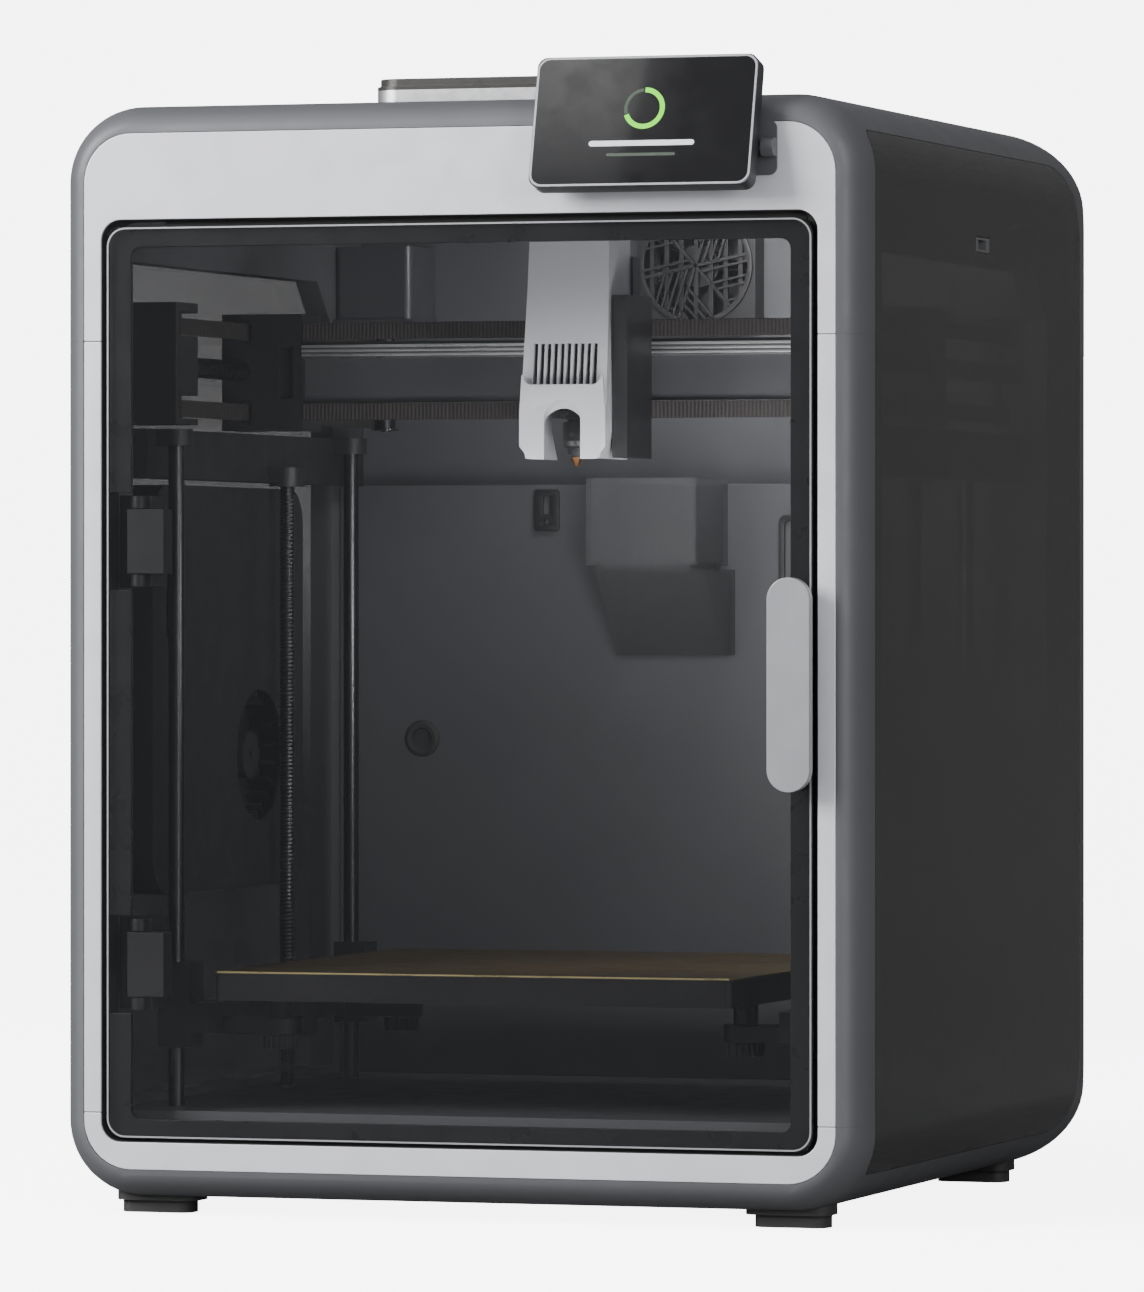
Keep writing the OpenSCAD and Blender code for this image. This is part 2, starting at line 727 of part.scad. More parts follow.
// Rocker of the power switch, on its own pin
module power_switch() {
  m = (inlet_x[0] + inlet_x[1]) / 2;
  color("#1b1c1e") difference() {
    translate([m - 6, body_d - 5, switch_mid]) rotate([90, 0, 90]) linear_extrude(12)
      polygon([[-3, -4], [2.2, -6.6], [3.4, -0.5], [4.6, 6.4], [-3, 4]]);
    x_bar(body_d - 5, switch_mid, [m - 7, m + 7], 1 + running_fit);
  }
}

// Data port in the right wall
module usb_port() {
  g = inset_gap;
  color("#2b2c2e") difference() {
    union() {
      block([half_w - 11, half_w - 0.4], [port_y[0] + g, port_y[1] - g], [port_z[0] + g, port_z[1] - g]);
      block([half_w - panel_t - 4, half_w - panel_t - 1], port_y, port_z);
    }
    block([half_w - 9, half_w + 1], [port_y[0] + 6, port_y[1] - 6], [port_z[0] + 1.4, port_z[1] - 1.5]);
  }
}

// ---- Door ----

// Brackets on the left column that reach behind the edge of the door, with the hinge pins
module hinge_brackets() {
  color("#111214") for (z = [hinge_z_high, hinge_z_low]) {
    far = hinge_y + 17.5;
    block([-opening_x, hinge_x + 6], [far, far + 5], [z - leaf_h / 2 - 7, z + leaf_h / 2 + 7]);
    difference() {
      for (e = [z - leaf_h / 2 - hinge_clear - eye_h, z + leaf_h / 2 + hinge_clear]) {
        z_bar(hinge_x, hinge_y, [e, e + eye_h], eye_r);
        block([hinge_x + 0.8, hinge_x + 6], [hinge_y + 1, far + 1], [e, e + eye_h]);
        block([hinge_x, hinge_x + 4], [hinge_y, hinge_y + 2], [e, e + eye_h]);
      }
      z_bar(hinge_x, hinge_y, [z - leaf_h / 2 - 5, z + leaf_h / 2 + 5], hinge_pin_r);
    }
  }
  color("#b9bcc0") for (z = [hinge_z_high, hinge_z_low])
    z_bar(hinge_x, hinge_y, [z - leaf_h / 2 - 5, z + leaf_h / 2 + 5], hinge_pin_r);
}

// Leaves behind the glass that turn on the pins
module door_hinge_leaves() {
  color("#111214") for (z = [hinge_z_high, hinge_z_low]) difference() {
    block([hinge_x - 4.5, hinge_x + 14.3], [door_glass_t, hinge_y + 7], [z - leaf_h / 2, z + leaf_h / 2]);
    z_bar(hinge_x, hinge_y, [z - leaf_h, z + leaf_h], hinge_pin_r + running_fit);
  }
}

module door_glass() {
  color("#55585c", 0.5) front_plate([-door_x, door_x], [0, door_glass_t], [door_z0, door_z1],
    opening_r - door_gap);
}

// Dark frame glued behind the glass, cut out at the hinges
module door_border() {
  y = [door_glass_t, door_glass_t + border_t];
  b = door_border_w;
  color("#0c0c0d") difference() {
    front_plate([0.4 - door_x, door_x - 0.4], y, [door_z0 + 0.4, door_z1 - 0.4], opening_r - door_gap);
    front_plate([b - door_x, door_x - b], [0, hinge_y + 1], [door_z0 + b - 2.5, door_z1 - b + 1.8], 5);
    for (z = [hinge_z_high, hinge_z_low])
      block([-door_x - 1, hinge_x + 10], [0, hinge_y + 1], [z - leaf_h / 2 - 8, z + leaf_h / 2 + 8]);
  }
}

// Pill-shaped grip on a dark standoff
module door_handle() {
  x = [handle_x - handle_w / 2, handle_x + handle_w / 2];
  z = [handle_z - handle_h / 2, handle_z + handle_h / 2];
  color("#aaabaf") front_plate(x, [-14, -8.5], z, handle_w / 2 - eps);
  color("#101113") front_plate([x[0] + 2.5, x[1] - 2.5], [-8.5, 0], [z[0] + 2.5, z[1] - 2.5],
    handle_w / 2 - 2.6);
}

// ---- Touch screen ----

pin_y = -4.6;
pin_z = screen_z - 13;
pin_r = 1.25;
lug_r = 2.8;

// Moves a piece from the screen's own frame: Y = 0 is its front face
module screen_frame() {
  translate([screen_x, -screen_mid_y, screen_z]) rotate([-screen_tilt, 0, 0]) children();
}

module screen_housing() {
  w = screen_w / 2;
  h = screen_h / 2;
  color("#2a2b2d") difference() {
    union() {
      screen_frame() front_plate([-w, w], [0, screen_t], [-h, h], 5);
      for (x = [-12, 30]) {
        x_bar(pin_y, pin_z, [screen_x + x - 6, screen_x + x + 6], lug_r);
        translate([screen_x + x - 6, pin_y, pin_z]) rotate([-screen_tilt, 0, 0])
          translate([0.2, -4.4, 0.5 - lug_r]) cube([11.6, 2.6, 2 * lug_r - 1]);
      }
    }
    x_bar(pin_y, pin_z, [screen_x - w, screen_x + w + 9], pin_r + running_fit);
    screen_frame() front_plate([2.2 - w, w - 2.2], [-1, 1.2], [2.2 - h, h - 2.2], 3.5);
  }
}

module screen_glass() {
  w = screen_w / 2 - 2.2;
  h = screen_h / 2 - 2.2;
  color("#08090a") screen_frame() front_plate([-w, w], [0, 1.2], [-h, h], 3.5);
}

// Plate on the front face with two ears and the tilt pin
module screen_mount() {
  w = screen_w / 2;
  ears = [[-w + 14, -w + 20, lug_r], [w + 1, w + 7, 4.4]];
  color("#77797d") difference() {
    union() {
      front_plate([screen_x - w + 8, screen_x + w + 7], [-1.2, 0], [pin_z - 13, pin_z + 13], 4);
      for (e = ears) {
        x_bar(pin_y, pin_z, [screen_x + e[0], screen_x + e[1]], e[2]);
        block([screen_x + e[0], screen_x + e[1]], [pin_y, -1], [pin_z - e[2], pin_z + e[2]]);
      }
    }
    x_bar(pin_y, pin_z, [screen_x - w + 15, screen_x + w + 6], pin_r);
  }
  color("#b9bcc0") x_bar(pin_y, pin_z, [screen_x - w + 15, screen_x + w + 6], pin_r);
}

// ---- Lid ----

module lid_frame() {
  color("#16171a") difference() {
    level_plate([-lid_x, lid_x], [lid_y0, lid_y1], [z_top - lid_t, z_top], 12);
    level_plate([lid_rim - lid_x, lid_x - lid_rim], [lid_y0 + lid_rim + 28, lid_y1 - lid_rim],
      [z_top - lid_t - 1, z_top + 1], 6);
    level_plate([lid_rim - lid_x - 4, lid_x - lid_rim + 4], [lid_y0 + lid_rim + 24, lid_y1 - lid_rim + 4],
      [z_top - lid_glass_t, z_top + 1], 8);
  }
}

module lid_glass() {
  g = inset_gap;
  color("#4a4d52", 0.5) level_plate([lid_rim - lid_x - 4 + g, lid_x - lid_rim + 4 - g],
    [lid_y0 + lid_rim + 24 + g, lid_y1 - lid_rim + 4 - g], [z_top - lid_glass_t, z_top - 0.2], 8);
}

// Grip at the front of the lid
module lid_handle() {
  color("#a2a3a8") difference() {
    level_plate([-57, 57], [41, 69], [z_top, z_top + 9], 13.9);
    block([-45, 45], [60, 72], [z_top - 1, z_top + 6]);
  }
  color("#1b1c1f") level_plate([-55.5, 55.5], [42.5, 67.5], [z_top + 9, z_top + 12.6], 12.4);
}

// ---- Gantry ----

module x_beam() {
  x = carriage_x[0];
  color("#2c2d30") difference() {
    union() {
      block([-x, x], beam_y, beam_z);
      block([-x, x], [beam_y[0], beam_y[0] + 3], [beam_z[0] - 4.5, beam_z[0] + 1]);
    }
    block([-x - 1, x + 1], [beam_y[0] + 2, beam_y[1] - 2], [beam_z[0] + 2, beam_z[1] - 2]);
  }
}

module x_rail() {
  color("#c6c8cc") block([-carriage_x[0], carriage_x[0]], [beam_y[0] - rail_t, beam_y[0]], rail_z);
}

// Blocks that ride on the front-to-back rods, slotted for the belts and pulleys
module y_carriages() {
  n = xy_motor[0];
  color("#1b1c1e") both_sides() difference() {
    block(carriage_x, carriage_y, carriage_z);
    y_bar(y_rod_x, gantry_z, [carriage_y[0] - 1, carriage_y[1] + 1], y_rod_r + running_fit);
    for (z = [belt_low, belt_high]) {
      block([belt_x - 2, belt_x + belt_t + 1.5], [carriage_y[0] - 1, carriage_y[1] + 1],
        [z - 2, z + belt_w + 2]);
      block([n - 8, belt_x + belt_t + 1.5], [carriage_y[1] - 13, carriage_y[1] + 1],
        [z - 2, z + belt_w + 2]);
    }
    block([n - 3.5, n + 3.5], [carriage_y[1] - 13, carriage_y[1] + 1],
      [carriage_z[0] - 1, carriage_z[1] + 1]);
    block([carriage_x[0] + 5, n - 12], [carriage_y[0] - 1, carriage_y[0] + 5],
      [gantry_z - 14, gantry_z + 12]);
  }
}

// Belt runs along the beam
module x_belts() {
  x = carriage_x[0];
  color("#6a5f5a") for (z = [belt_low, belt_high])
    block([-x, x], [carriage_y[0] - 0.7, carriage_y[0] + 0.7], [z, z + belt_w]);
}

// ---- Tool head ----

// Side outline of the cover, leaning back towards the top
function head_side(c) = [[head_y0 + c, head_z0 - 1], [head_y0 + c, head_z0 + 12],
  [head_y0 + 9 + c, head_z0 + 82], [head_y0 + 11 + c, head_z1 + 1 - c], [160, head_z1 + 1 - c],
  [160, head_z0 - 1]];

// Front outline of the cover, flared above its lower end
function head_front(c) = let (w = head_half - c, b = head_z0, t = head_z1 - c)
  [[-w + 1.5, t], [-w, b + 22], [-w, b + 14], [-w + 3, b - (c > 0 ? 1 : 0)],
   [w - 3, b - (c > 0 ? 1 : 0)], [w, b + 14], [w, b + 22], [w - 1.5, t]];

module head_solid(c) {
  intersection() {
    translate([head_x - 40, 0, 0]) rotate([90, 0, 90]) linear_extrude(80) polygon(head_side(c));
    translate([head_x, 161, 0]) rotate([90, 0, 0]) linear_extrude(80) polygon(head_front(c));
  }
}

module toolhead_cover() {
  color("#85878b") difference() {
    head_solid(0);
    translate([0, 0.5, 0]) head_solid(head_wall);
    y_bar(head_x, head_z0 + 13.5, [head_y0 - 5, head_y0 + 30], 11);
    block([head_x - 11, head_x + 11], [head_y0 - 5, head_y0 + 30], [head_z0 - 5, head_z0 + 13.5]);
    for (i = [0 : 9]) block([head_x - 16.35 + i * 3.4, head_x - 14.25 + i * 3.4],
      [head_y0 - 5, head_y0 + 30], [head_fan_z - 10.8, head_fan_z + 10.8]);
    block([head_x - head_half - 1, head_x - head_half + 6], [142.5, 156.5], [gantry_z + 14, gantry_z + 24]);
  }
}

// Body of the tool head: rail carriage, fan pocket, gear pocket and side blower
module toolhead_body() {
  w = head_half - 3;
  color("#141517") difference() {
    union() {
      block([head_x - w, head_x + w], [131, 160], [gantry_z - 18, gantry_z + 20]);
      block([head_x - w + 3, head_x + w - 3], [131, 160], [gantry_z + 19, head_z1 - 8]);
      block([head_x - head_half, head_x + head_half], [160, 172], [gantry_z - 22, head_z1 - 8]);
      block([head_x - 12, head_x + 12], [171, beam_y[0] - 0.5], [rail_z[0] - 5, rail_z[1] + 1.6]);
      block([head_x + head_half + 0.5, head_x + head_half + 8], [125, 165], [head_z0 + 0.5, gantry_z + 34]);
      block([head_x + head_half - 1, head_x + head_half + 1], [160.5, 165], [gantry_z - 22, gantry_z + 30]);
      block([head_x - 8, head_x + 8], [146, 161], [head_z0 + 4, gantry_z - 17]);
    }
    block([head_x - 13, head_x + 13], [beam_y[0] - rail_t - 0.3, beam_y[0]],
      [rail_z[0] - 0.3, rail_z[1] + 0.3]);
    difference() {
      y_bar(head_x, head_fan_z, [130, 144], head_fan_d / 2 + 0.6);
      y_bar(head_x, head_fan_z, [132, 145], 1.5);
    }
    difference() {
      y_bar(head_x + 2, gantry_z + 34, [130, 144], 9);
      y_bar(head_x + 2, gantry_z + 34, [132, 145], 1.5);
    }
    z_bar(head_x - 6.8, 137, [gantry_z + 24, head_z1], 1.2);
    block([head_x - w - 1, head_x - 9], [145, 154], [gantry_z + 15.5, gantry_z + 22.5]);
  }
}

// Heat sink, heater and nozzle
module hotend() {
  color("#2b2c2f") {
    translate([head_x, nozzle_y, 0]) {
      for (i = [0 : 4]) translate([0, 0, head_z0 + 9 + i * 3.6]) cylinder(r = 6.8, h = 2);
      translate([0, 0, head_z0 + 4]) cylinder(r = 5, h = 23.5);
    }
    block([head_x - 6, head_x + 6], [nozzle_y + 4, 146], [head_z0 + 8, gantry_z - 18.5]);
  }
  color("#b0713c") translate([head_x, nozzle_y, nozzle_z]) {
    cylinder(r1 = 1, r2 = 3.4, h = 4);
    translate([0, 0, 4]) cylinder(r = 3.4, h = 3.5);
  }
}

module head_fan_rotor() {
  color("#26272a") translate([head_x, 132.5, head_fan_z]) rotate([-90, 0, 0])
    axial_wheel(head_fan_d / 2, 10, 7, 1.5 + running_fit);
}

// Toothed wheel that feeds the filament
module extruder_gear() {
  color("#c0a062") translate([head_x + 2, 132.5, gantry_z + 34]) rotate([-90, 0, 0]) difference() {
    union() {
      cylinder(r = 7.2, h = 9);
      for (i = [0 : 17]) rotate(i * 20) translate([6.8, -0.55, 0]) cube([1.6, 1.1, 9]);
    }
    translate([0, 0, -1]) cylinder(r = 1.5 + running_fit, h = 11);
  }
}

// Lever that cuts the filament when it is pushed in
module cutter_lever() {
  x = head_x - head_half;
  color("#3a3c40") {
    block([x - 5, x + 9.4], [145.5, 153.5], [gantry_z + 16, gantry_z + 22]);
    block([x - 5, x - 1.5], [143.5, 155.5], [gantry_z + 14.5, gantry_z + 23.5]);
  }
}

// ---- Bed ----

module bed_plate() {
  color("#131416") {
    difference() {
      union() {
        difference() {
          level_plate([-bed_x, bed_x], bed_y, [bed_low, bed_z], 4);
          level_plate([3 - bed_x, bed_x - 3], [bed_y[0] + 3, bed_y[1] - 3], [bed_low - 1, bed_z - 4], 3);
        }
        both_sides() for (y = knob_y) z_bar(knob_x, y, [knob_top + 10, bed_z - 3], 6);
      }
      both_sides() for (y = knob_y) z_bar(knob_x, y, [0, bed_low + 4], stud_r + running_fit);
    }
  }
}

// Flexible textured sheet on the heated bed, with a grip tab at the front
module build_sheet() {
  color("#b08d45") {
    level_plate([-bed_x - 2.3, bed_x + 2.3], [bed_y[0] + 3, bed_y[1] + 1], [bed_z, bed_z + sheet_t], 4);
    block([-32, 32], [bed_y[0], bed_y[0] + 4], [bed_z, bed_z + sheet_t]);
  }
}

// Carriages at both sides that carry the bed along the rods and the screws
module z_carriages() {
  top = knob_top + 10;
  out = z_rod_x + bushing_r + 0.5;
  color("#161719") both_sides() difference() {
    union() {
      for (y = z_rod_y) {
        block([z_rod_x - 11, out], [y - 9, y + 9], [top - 14, bed_z + 3.5]);
      }
      block([z_rod_x - 12, out], [screw_y - 14, screw_y + 14], [top - 16, top + 12]);
      block([z_rod_x - 20, z_rod_x - 9], [z_rod_y[0] - 9, z_rod_y[1] + 9], [top - 7, top + 8]);
      for (y = knob_y) {
        z_bar(knob_x, y, [top - 8, top], 11);
        block([knob_x, z_rod_x - 15], [y - 11, y + 11], [top - 8, top]);
      }
    }
    for (y = z_rod_y) z_bar(z_rod_x, y, [0, z_top], z_rod_r + running_fit);
    z_bar(z_rod_x, screw_y, [0, z_top], screw_r + running_fit);
    for (y = knob_y) z_bar(knob_x, y, [0, z_top], stud_r + running_fit);
  }
}

// Ribbed levelling knob with its stud
module knob(y) {
  r = knob_d / 2;
  color("#1a1b1d") translate([knob_x, y, knob_top - 5]) difference() {
    cylinder(r = r, h = 6.5);
    for (i = [0 : 17]) rotate(i * 20) translate([r + 0.5, 0, -1]) cylinder(r = 1.1, h = 9);
  }
  color("#9a9c9f") z_bar(knob_x, y, [knob_top, bed_low + 3.5], stud_r);
}

module knob_front_left() {
  mirror([1, 0, 0]) knob(knob_y[0]);
}

module knob_front_right() {
  knob(knob_y[0]);
}

module knob_rear_left() {
  mirror([1, 0, 0]) knob(knob_y[1]);
}

module knob_rear_right() {
  knob(knob_y[1]);
}

// ---- Turning shafts ----

module lead_screw() {
  color("#8f9195") z_bar(z_rod_x, screw_y, [floor_z - 21, beam_z0 + 5.5], screw_r);
}

module lead_screw_left() {
  mirror([1, 0, 0]) lead_screw();
}

module lead_screw_right() {
  lead_screw();
}

// Motor shaft with a pulley for each belt level
module xy_pulley() {
  color("#a7a9ac") translate([xy_motor[0], xy_motor[1], 0]) {
    z_bar(0, 0, [belt_low - 2, gantry_z + 39.5], 2.5);
    for (z = [belt_low, belt_high]) {
      z_bar(0, 0, [z - 1, z + belt_w + 1], pulley_r);
      for (f = [z - 1.2, z + belt_w + 0.4]) z_bar(0, 0, [f, f + 0.8], pulley_r + 1.7);
    }
  }
}

module xy_pulley_left() {
  mirror([1, 0, 0]) xy_pulley();
}

module xy_pulley_right() {
  xy_pulley();
}

place() base_housing();
place() left_frame();
place() right_frame();
place() top_housing();
place() rear_cover();
place() chamber_floor();
place() chamber_back_panel();
place() front_trim();
place() left_side_panel();
place() right_side_panel();
place() side_beams();
place() rubber_feet();
place() z_guide_rods();
place() y_guide_rods();
place() z_motors();
place() xy_motors();
place() y_belts();
place() belt_brackets();
place() aux_fan_housing();
place() exhaust_fan_housing();
place() purge_chute();
place() mainboard();
place() power_supply();
place() power_inlet();
place() usb_port();
place() hinge_brackets();
place() screen_mount();
place() door_glass();
place() door_border();
place() door_handle();
place() door_hinge_leaves();
place() screen_housing();
place() screen_glass();
place() lid_frame();
place() lid_glass();
place() lid_handle();
place() x_beam();
place() x_rail();
place() y_carriages();
place() x_belts();
place() toolhead_cover();
place() toolhead_body();
place() hotend();
place() head_fan_rotor();
place() extruder_gear();
place() cutter_lever();
place() bed_plate();
place() build_sheet();
place() z_carriages();
place() knob_front_left();
place() knob_front_right();
place() knob_rear_left();
place() knob_rear_right();
place() lead_screw_left();
place() lead_screw_right();
place() xy_pulley_left();
place() xy_pulley_right();
place() aux_fan_rotor();
place() exhaust_fan_rotor();
place() power_switch();
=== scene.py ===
"""Looks of the enclosed 3D printer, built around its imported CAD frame. Metres, +Z up, +Y to the back."""

import json
import math

import bmesh
import bpy
from mathutils import Matrix, Vector


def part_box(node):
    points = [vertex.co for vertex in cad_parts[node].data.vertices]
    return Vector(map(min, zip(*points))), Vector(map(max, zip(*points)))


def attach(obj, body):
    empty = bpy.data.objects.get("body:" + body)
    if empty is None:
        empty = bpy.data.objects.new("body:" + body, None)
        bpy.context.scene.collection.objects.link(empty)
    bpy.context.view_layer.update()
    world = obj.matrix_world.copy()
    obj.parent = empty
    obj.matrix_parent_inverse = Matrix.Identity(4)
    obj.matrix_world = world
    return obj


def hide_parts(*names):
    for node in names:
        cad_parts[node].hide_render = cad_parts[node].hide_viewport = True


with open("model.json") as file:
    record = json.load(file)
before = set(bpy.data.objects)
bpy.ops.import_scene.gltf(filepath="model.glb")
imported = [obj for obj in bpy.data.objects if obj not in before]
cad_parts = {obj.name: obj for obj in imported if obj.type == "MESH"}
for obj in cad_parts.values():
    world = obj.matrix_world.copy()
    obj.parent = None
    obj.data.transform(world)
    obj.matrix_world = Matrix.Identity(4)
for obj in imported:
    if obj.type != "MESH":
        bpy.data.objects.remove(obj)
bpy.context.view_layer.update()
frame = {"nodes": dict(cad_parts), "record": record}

BODY_OF = {node: body for body, nodes in frame["record"]["behaviour"]["bodies"].items() for node in nodes}
SLOT_OF = {part["node"]: part["material_slot"] for part in frame["record"]["subparts"]}


# ---------------------------------------------------------------- materials

class Nodes:
    """Short way to build a procedural material."""

    def __init__(self, name):
        self.material = bpy.data.materials.new(name)
        self.material.use_nodes = True
        self.tree = self.material.node_tree
        self.shader = self.tree.nodes["Principled BSDF"]
        self.coords = self.add("ShaderNodeTexCoord").outputs["Object"]

    def add(self, kind, **settings):
        node = self.tree.nodes.new(kind)
        for key, value in settings.items():
            setattr(node, key, value)
        return node

    def link(self, source, target):
        self.tree.links.new(source, target)

    def set(self, **sockets):
        for key, value in sockets.items():
            self.shader.inputs[key.replace("_", " ")].default_value = value
        return self

    def noise(self, scale, detail=3.0, stretch=(1, 1, 1), roughness=0.55):
        mapping = self.add("ShaderNodeMapping")
        mapping.inputs["Scale"].default_value = stretch
        self.link(self.coords, mapping.inputs["Vector"])
        noise = self.add("ShaderNodeTexNoise")
        noise.inputs["Scale"].default_value = scale
        noise.inputs["Detail"].default_value = detail
        noise.inputs["Roughness"].default_value = roughness
        self.link(mapping.outputs["Vector"], noise.inputs["Vector"])
        return noise.outputs["Fac"]

    def ramp(self, source, stops):
        ramp = self.add("ShaderNodeValToRGB")
        elements = ramp.color_ramp.elements
        while len(elements) < len(stops):
            elements.new(0.5)
        for element, (place, color) in zip(elements, stops):
            element.position = place
            element.color = (*color, 1) if len(color) == 3 else color
        self.link(source, ramp.inputs["Fac"])
        return ramp.outputs["Color"]

    def remap(self, source, low, high, start=0.3, end=0.7):
        remap = self.add("ShaderNodeMapRange")
        remap.inputs["From Min"].default_value = start
        remap.inputs["From Max"].default_value = end
        remap.inputs["To Min"].default_value = low
        remap.inputs["To Max"].default_value = high
        self.link(source, remap.inputs["Value"])
        return remap.outputs["Result"]

    def bump(self, height, distance, strength=0.5):
        bump = self.add("ShaderNodeBump")
        bump.inputs["Strength"].default_value = strength
        bump.inputs["Distance"].default_value = distance
        self.link(height, bump.inputs["Height"])
        self.link(bump.outputs["Normal"], self.shader.inputs["Normal"])

    def height(self):
        """Height above the ground."""
        split = self.add("ShaderNodeSeparateXYZ")
        self.link(self.coords, split.inputs["Vector"])
        return split.outputs["Z"]

    def to(self, source, socket):
        self.link(source, self.shader.inputs[socket])


def shade(color, factor):
    return tuple(min(1, c * factor) for c in color)


def moulded(name, color, roughness=0.5, grain=0.00004, grain_scale=2600, vary=0.06, coat=0.0, metallic=0.0):
    """Moulded or painted surface: slight colour drift, fine grain and uneven gloss."""
    m = Nodes(name)
    m.set(Metallic=metallic, Coat_Weight=coat)
    drift = m.noise(14, 2)
    m.to(m.ramp(drift, [(0.3, shade(color, 1 - vary)), (0.7, shade(color, 1 + vary))]), "Base Color")
    fine = m.noise(grain_scale, 2)
    m.to(m.remap(m.noise(60, 3), roughness - 0.04, roughness + 0.04), "Roughness")
    m.bump(fine, grain)
    return m.material


def brushed(name, color, roughness, stretch, vary=0.12):
    """Metal with fine parallel marks along the axis that stretch keeps short."""
    m = Nodes(name)
    m.set(Metallic=1.0)
    marks = m.noise(900, 4, stretch)
    m.to(m.ramp(marks, [(0.3, shade(color, 1 - vary)), (0.7, shade(color, 1 + vary * 0.6))]), "Base Color")
    m.to(m.remap(marks, roughness - 0.06, roughness + 0.08), "Roughness")
    m.bump(marks, 0.00003, 0.4)
    return m.material


def striped(m, axis, period, flat=(1, 1, 1)):
    """Height that rises and falls along an axis with the given period."""
    mapping = m.add("ShaderNodeMapping")
    mapping.inputs["Scale"].default_value = flat
    m.link(m.coords, mapping.inputs["Vector"])
    wave = m.add("ShaderNodeTexWave", wave_type="BANDS", bands_direction=axis, wave_profile="SIN")
    wave.inputs["Scale"].default_value = 2 * math.pi / ((10 if axis == "DIAGONAL" else 20) * period)
    m.link(mapping.outputs["Vector"], wave.inputs["Vector"])
    return wave.outputs["Fac"]


def toothed(name, color, period):
    """Belt rubber with upright teeth, whichever way the belt runs; painted shade between teeth, highlight
    on them.
    """
    m = Nodes(name)
    teeth = striped(m, "DIAGONAL", period, (1, 1, 0))
    # painted shade and highlight: the rubber colour is darkened between the teeth and lightened on them
    m.to(m.ramp(teeth, [(0.25, shade(color, 0.55)), (0.7, shade(color, 1.35))]), "Base Color")
    m.to(m.remap(m.noise(500, 2), 0.66, 0.8), "Roughness")
    m.bump(teeth, 0.0004)
    return m.material


def grooved(name, color, period):
    """Ground linear rail: bright lands, with painted shade darkening the grooves along it."""
    m = Nodes(name)
    m.set(Metallic=0.9)
    grooves = striped(m, "Z", period)
    # painted shade: the steel colour drops to 0.3 of itself in the grooves
    m.to(m.ramp(grooves, [(0.3, shade(color, 0.3)), (0.55, color)]), "Base Color")
    m.to(m.remap(m.noise(900, 3, (0.02, 1, 1)), 0.24, 0.34), "Roughness")
    m.bump(grooves, 0.0002)
    return m.material


def glassy(name, color, alpha, roughness=0.05):
    """Smoked sheet: see-through by a plain alpha, with a faint haze in its gloss."""
    m = Nodes(name)
    m.set(Base_Color=(*color, 1), Alpha=alpha, IOR=1.5)
    m.to(m.remap(m.noise(30, 3), roughness, roughness + 0.02), "Roughness")
    return m.material


def graded(name, color, foot_cover, head_cover):
    """Smoked panel that covers more towards its foot than towards its head: painted shade, darker at the
    foot.
    """
    foot_z, head_z = 0.2, 0.32
    m = Nodes(name)
    m.to(m.ramp(m.noise(14, 2), [(0.3, shade(color, 0.92)), (0.7, shade(color, 1.08))]), "Base Color")
    m.to(m.remap(m.noise(60, 3), 0.12, 0.2), "Roughness")
    # painted shade: less of the chamber shows through lower down, so the panel looks darker towards its
    # foot
    m.to(m.remap(m.height(), foot_cover, head_cover, foot_z, head_z), "Alpha")
    m.bump(m.noise(900, 2), 0.000004)
    return m.material


def make_materials():
    return {
        "casing_grey": moulded("casing_grey", (0.118, 0.12, 0.129), 0.54, 0.00003, 3000, 0.04,
                               metallic=0.35),
        "trim_silver": moulded("trim_silver", (0.77, 0.778, 0.82), 0.38, 0.00003, 3000, 0.02,
                               metallic=0.35),
        # side panels with painted shade, darker towards their foot
        "smoked_panel": graded("smoked_panel", (0.014, 0.014, 0.015), 0.965, 0.865),
        "door_glass": glassy("door_glass", (0.02, 0.021, 0.023), 0.2, 0.03),
        "border_black": moulded("border_black", (0.014, 0.014, 0.015), 0.3, 0.00001, 2000, 0.08),
        "handle_silver": moulded("handle_silver", (0.37, 0.375, 0.395), 0.38, 0.00005, 2800, 0.03,
                                 metallic=0.4),
        "black_plastic": moulded("black_plastic", (0.013, 0.013, 0.0145), 0.45),
        "dark_sheet": moulded("dark_sheet", (0.075, 0.076, 0.084), 0.5, 0.00006, 2200),
        "rubber_black": moulded("rubber_black", (0.026, 0.026, 0.026), 0.7, 0.00008, 1800),
        "ground_steel": brushed("ground_steel", (0.075, 0.076, 0.08), 0.3, (1, 1, 0.02)),
        "belt_rubber": toothed("belt_rubber", (0.026, 0.021, 0.0205), 0.002),
        "screen_glass": moulded("screen_glass", (0.004, 0.004, 0.005), 0.08, 0.000002, 300, 0.1, coat=0.5),
        "clear_smoke": glassy("clear_smoke", (0.12, 0.122, 0.13), 0.34, 0.42),
        "circuit_board": moulded("circuit_board", (0.01, 0.09, 0.04), 0.4, 0.00005, 1200, 0.2),
        "psu_metal": brushed("psu_metal", (0.5, 0.51, 0.52), 0.35, (1, 1, 0.05)),
        "lid_glass": glassy("lid_glass", (0.02, 0.021, 0.023), 0.35),
        "beam_black": moulded("beam_black", (0.085, 0.086, 0.094), 0.35, 0.00003, 2500, 0.08, metallic=0.4),
        "head_grey": moulded("head_grey", (0.6, 0.606, 0.64), 0.36, 0.00003, 3000, 0.03, metallic=0.3),
        "copper": brushed("copper", (0.6, 0.3, 0.14), 0.3, (1, 1, 0.1)),
        "gear_brass": brushed("gear_brass", (0.7, 0.5, 0.22), 0.3, (1, 0.1, 1)),
        "bed_black": moulded("bed_black", (0.008, 0.008, 0.0085), 0.4, 0.00005, 2400, 0.08, metallic=0.3),
        "gold_sheet": moulded("gold_sheet", (0.105, 0.072, 0.026), 0.46, 0.00012, 1500, 0.12, metallic=0.7),
    }


